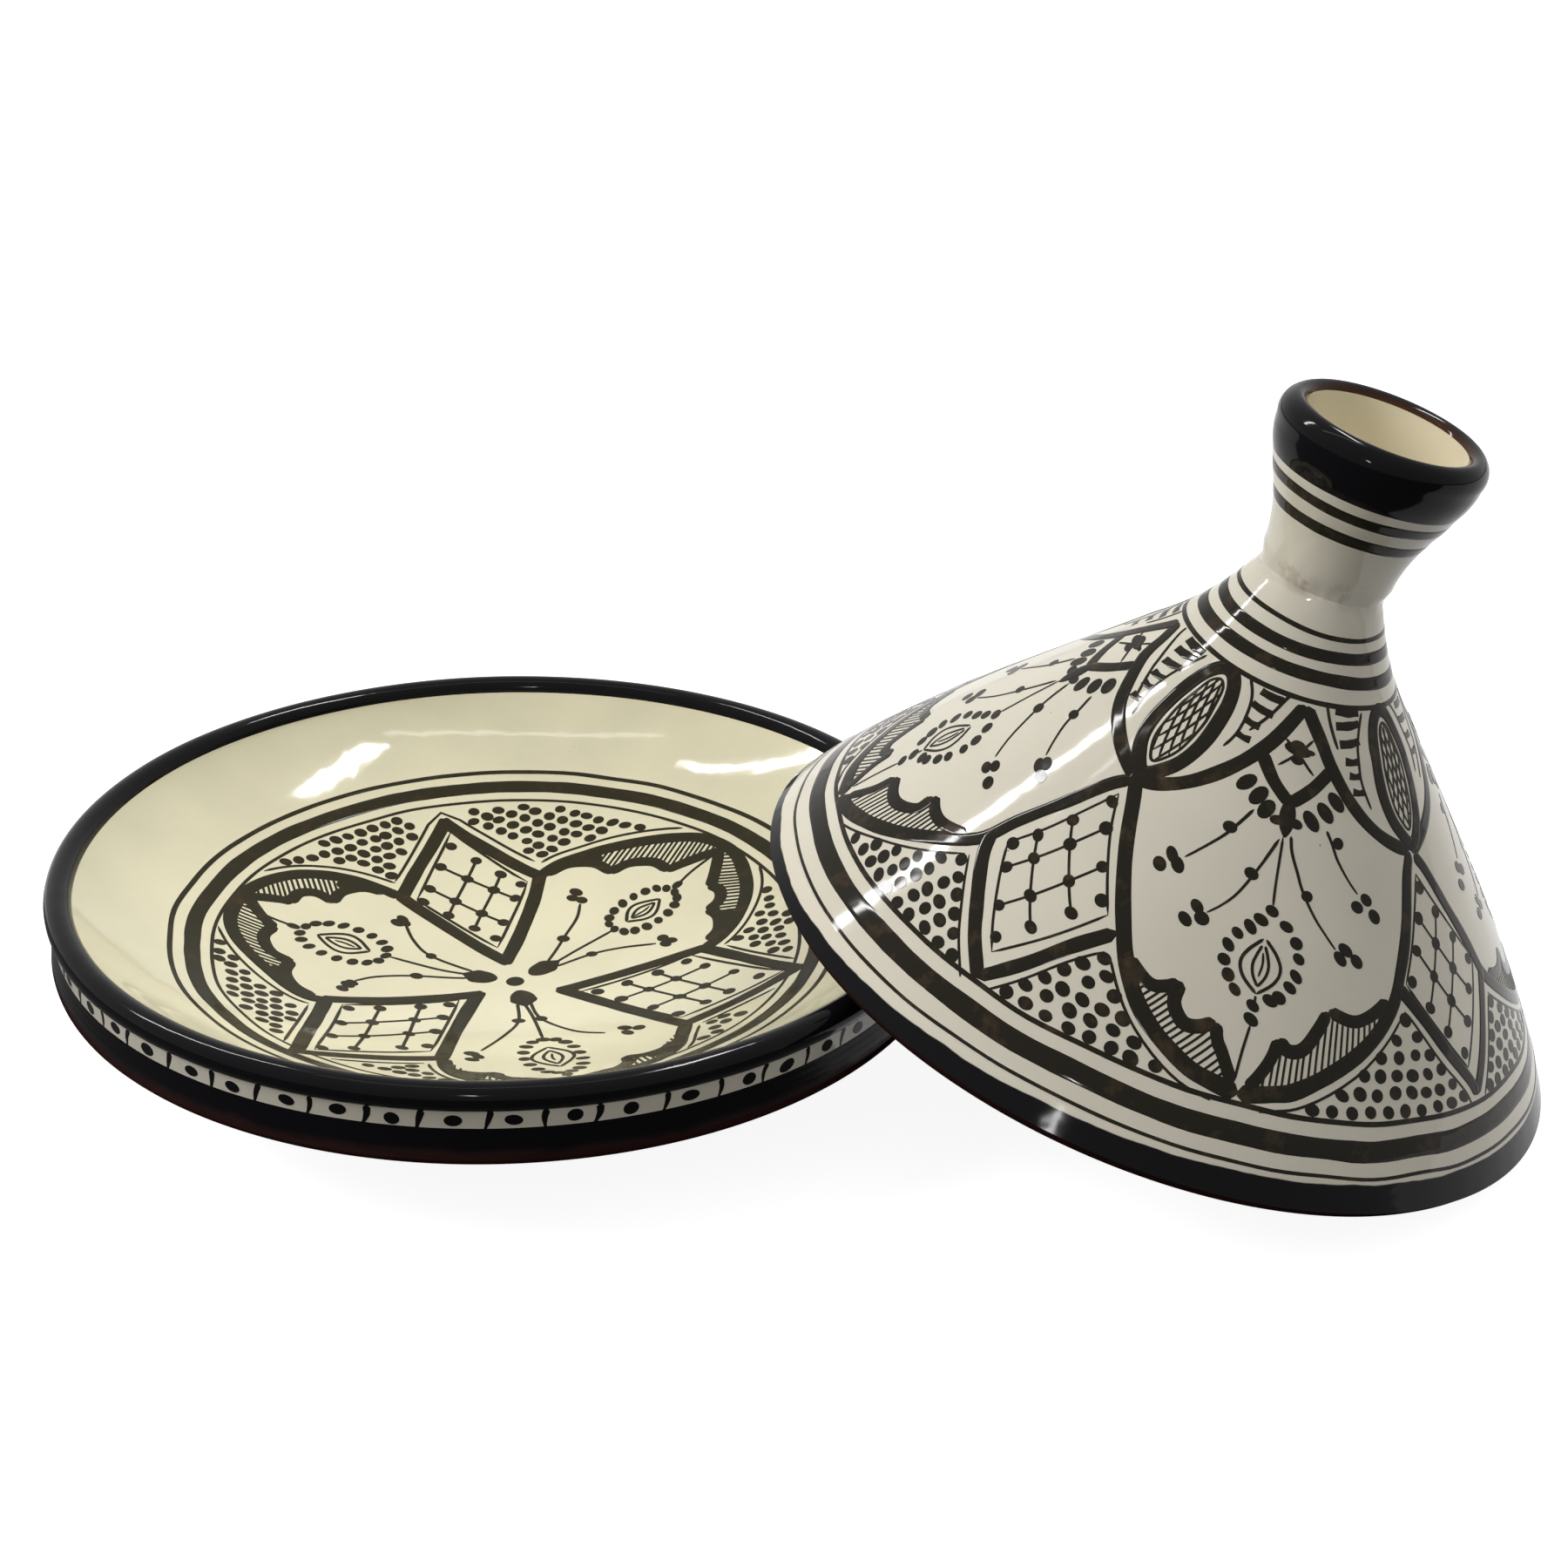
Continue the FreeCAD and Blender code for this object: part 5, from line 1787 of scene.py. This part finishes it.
class TAGINE_OT_stage(bpy.types.Operator):
    """Make the floor, the lights and the camera"""
    bl_idname = "tagine.stage"
    bl_label = "Studio"

    def execute(self, context):
        studio = context.scene.tagine_studio
        lay_floor(tuple(studio.floor), studio.glow)
        context.scene.world = dim_world(studio.sky)
        for name, spot, size, shows, strength in (
                ("key", (-1.8, -0.4, 1.6), (1.0, 1.0), False, studio.key),
                ("fill", (0.9, 1.6, 1.1), (1.0, 1.0), False, studio.fill),
                ("left_strip", (-1.5, 0.66, 2.0), (1.1, 0.11), True, studio.strips),
                ("right_strip", (0.48, 0.6, 2.0), (0.14, 0.75), True, studio.strips),
                ("far_strip", (-0.2, 0.0, 2.0), (1.4, 0.05), True, studio.strips * FAR_SHARE),
                ("front_lamp", (-0.17, -1.3, 0.9), (0.06, 0.12), True, studio.strips)):
            add_softbox(name, towards_pots(spot), size, shows, strength)
        flat = Matrix.Rotation(TABLE_TURN, 4, "Z") @ Matrix.Rotation(math.pi, 4, "X")
        add_softbox("table_glow", Matrix.Translation(TABLE_SPOT) @ flat, TABLE_SIZE, True, studio.table)
        context.scene.view_settings.view_transform = "Standard"
        aim_camera(studio.lens)
        return {"FINISHED"}


def lay_floor(tint, glow):
    """Square floor that the camera sees and that neither lights the pots nor shows in their glaze."""
    corners = [(x * FLOOR_REACH, y * FLOOR_REACH, 0) for x, y in ((-1, -1), (1, -1), (1, 1), (-1, 1))]
    mesh = bpy.data.meshes.new("floor")
    mesh.from_pydata(corners, [], [(0, 1, 2, 3)])
    mesh.materials.append(floor_finish("floor", tint, glow))
    ground = bpy.data.objects.new("floor", mesh)
    ground.location.z = -FLOOR_DROP
    ground.visible_glossy = False
    ground.visible_diffuse = False
    bpy.context.scene.collection.objects.link(ground)


def dim_world(strength):
    """White sky, brighter behind the pots than before them, above a dark ground."""
    world = bpy.data.worlds.new("Studio")
    world.use_nodes = True
    tree = world.node_tree
    background = tree.nodes["Background"]
    background.inputs["Color"].default_value = WHITE
    where = add(tree, "ShaderNodeTexCoord").outputs["Generated"]
    light = add(
        tree, "ShaderNodeMapRange",
        {"Value": part_of(tree, where, "Z"), "From Min": HORIZON, "From Max": 0.0,
         "To Min": strength * GROUND_SHARE, "To Max": strength},
    )
    behind = maths(tree, "ADD", maths(tree, "MULTIPLY", part_of(tree, where, "Y"), BEHIND_SHARE), 1.0)
    tree.links.new(maths(tree, "MULTIPLY", light.outputs[0], behind), background.inputs["Strength"])
    return world


def towards_pots(spot):
    """Place of a light at a spot that shines towards the pots."""
    back = Vector(spot).normalized()
    across = Vector((0, 1, 0)).cross(back).normalized()
    turn = Matrix((across, back.cross(across), back)).transposed()
    return Matrix.Translation(spot) @ turn.to_4x4()


def add_softbox(name, place, size, shows, strength):
    """A rectangular light.

    It either shines on the pots, with strength as its power, or only shows in their glaze, with
    strength as its radiance.
    """
    light = bpy.data.lights.new(name, "AREA")
    light.shape = "RECTANGLE"
    light.size, light.size_y = size
    light.energy = strength * math.pi * size[0] * size[1] if shows else strength
    lamp = bpy.data.objects.new(name, light)
    lamp.visible_glossy = shows
    lamp.visible_diffuse = not shows
    lamp.visible_camera = False
    lamp.matrix_world = place
    bpy.context.scene.collection.objects.link(lamp)


def aim_camera(lens):
    """Camera before the pots, looking down on them with a slight tilt."""
    data = bpy.data.cameras.new("camera")
    data.lens = lens
    data.sensor_width = SENSOR_WIDTH
    camera = bpy.data.objects.new("camera", data)
    forward = Vector((0, math.cos(CAMERA_PITCH), -math.sin(CAMERA_PITCH)))
    right = Vector((1, 0, 0))
    down = -right.cross(forward)
    across = right * math.cos(CAMERA_TILT) + down * math.sin(CAMERA_TILT)
    below = down * math.cos(CAMERA_TILT) - right * math.sin(CAMERA_TILT)
    turn = Matrix((across, -below, -forward)).transposed()
    camera.matrix_world = Matrix.Translation(Vector(CAMERA_SPOT) * MM) @ turn.to_4x4()
    bpy.context.scene.collection.objects.link(camera)
    bpy.context.scene.camera = camera


STEPS = (
    "tagine.trees", "tagine.dish", "tagine.dish_painting", "tagine.lid", "tagine.lid_painting",
    "tagine.stage")


class TAGINE_PT_panel(bpy.types.Panel):
    """Sizes, colours and steps of the tagine"""
    bl_label = "Painted tagine"
    bl_idname = "TAGINE_PT_panel"
    bl_space_type = "VIEW_3D"
    bl_region_type = "UI"
    bl_category = "Tagine"

    def draw(self, context):
        scene = context.scene
        for group in (scene.tagine_colours, scene.tagine_shape, scene.tagine_studio):
            box = self.layout.box()
            for name in group.bl_rna.properties.keys():
                if name not in ("rna_type", "name"):
                    box.prop(group, name)
        for step in STEPS:
            self.layout.operator(step)


CLASSES = (
    TagineColours, TagineShape, TagineStudio, TAGINE_OT_trees, TAGINE_OT_dish, TAGINE_OT_dish_painting,
    TAGINE_OT_lid, TAGINE_OT_lid_painting, TAGINE_OT_stage, TAGINE_PT_panel)


def register():
    for item in CLASSES:
        bpy.utils.register_class(item)
    bpy.types.Scene.tagine_colours = bpy.props.PointerProperty(type=TagineColours)
    bpy.types.Scene.tagine_shape = bpy.props.PointerProperty(type=TagineShape)
    bpy.types.Scene.tagine_studio = bpy.props.PointerProperty(type=TagineStudio)


def unregister():
    del bpy.types.Scene.tagine_studio
    del bpy.types.Scene.tagine_shape
    del bpy.types.Scene.tagine_colours
    for item in reversed(CLASSES):
        bpy.utils.unregister_class(item)


def main():
    """Build the tagine step by step."""
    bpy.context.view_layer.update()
    register()
    for step in STEPS:
        group, name = step.split(".")
        getattr(getattr(bpy.ops, group), name)()


if __name__ == "__main__":
    main()
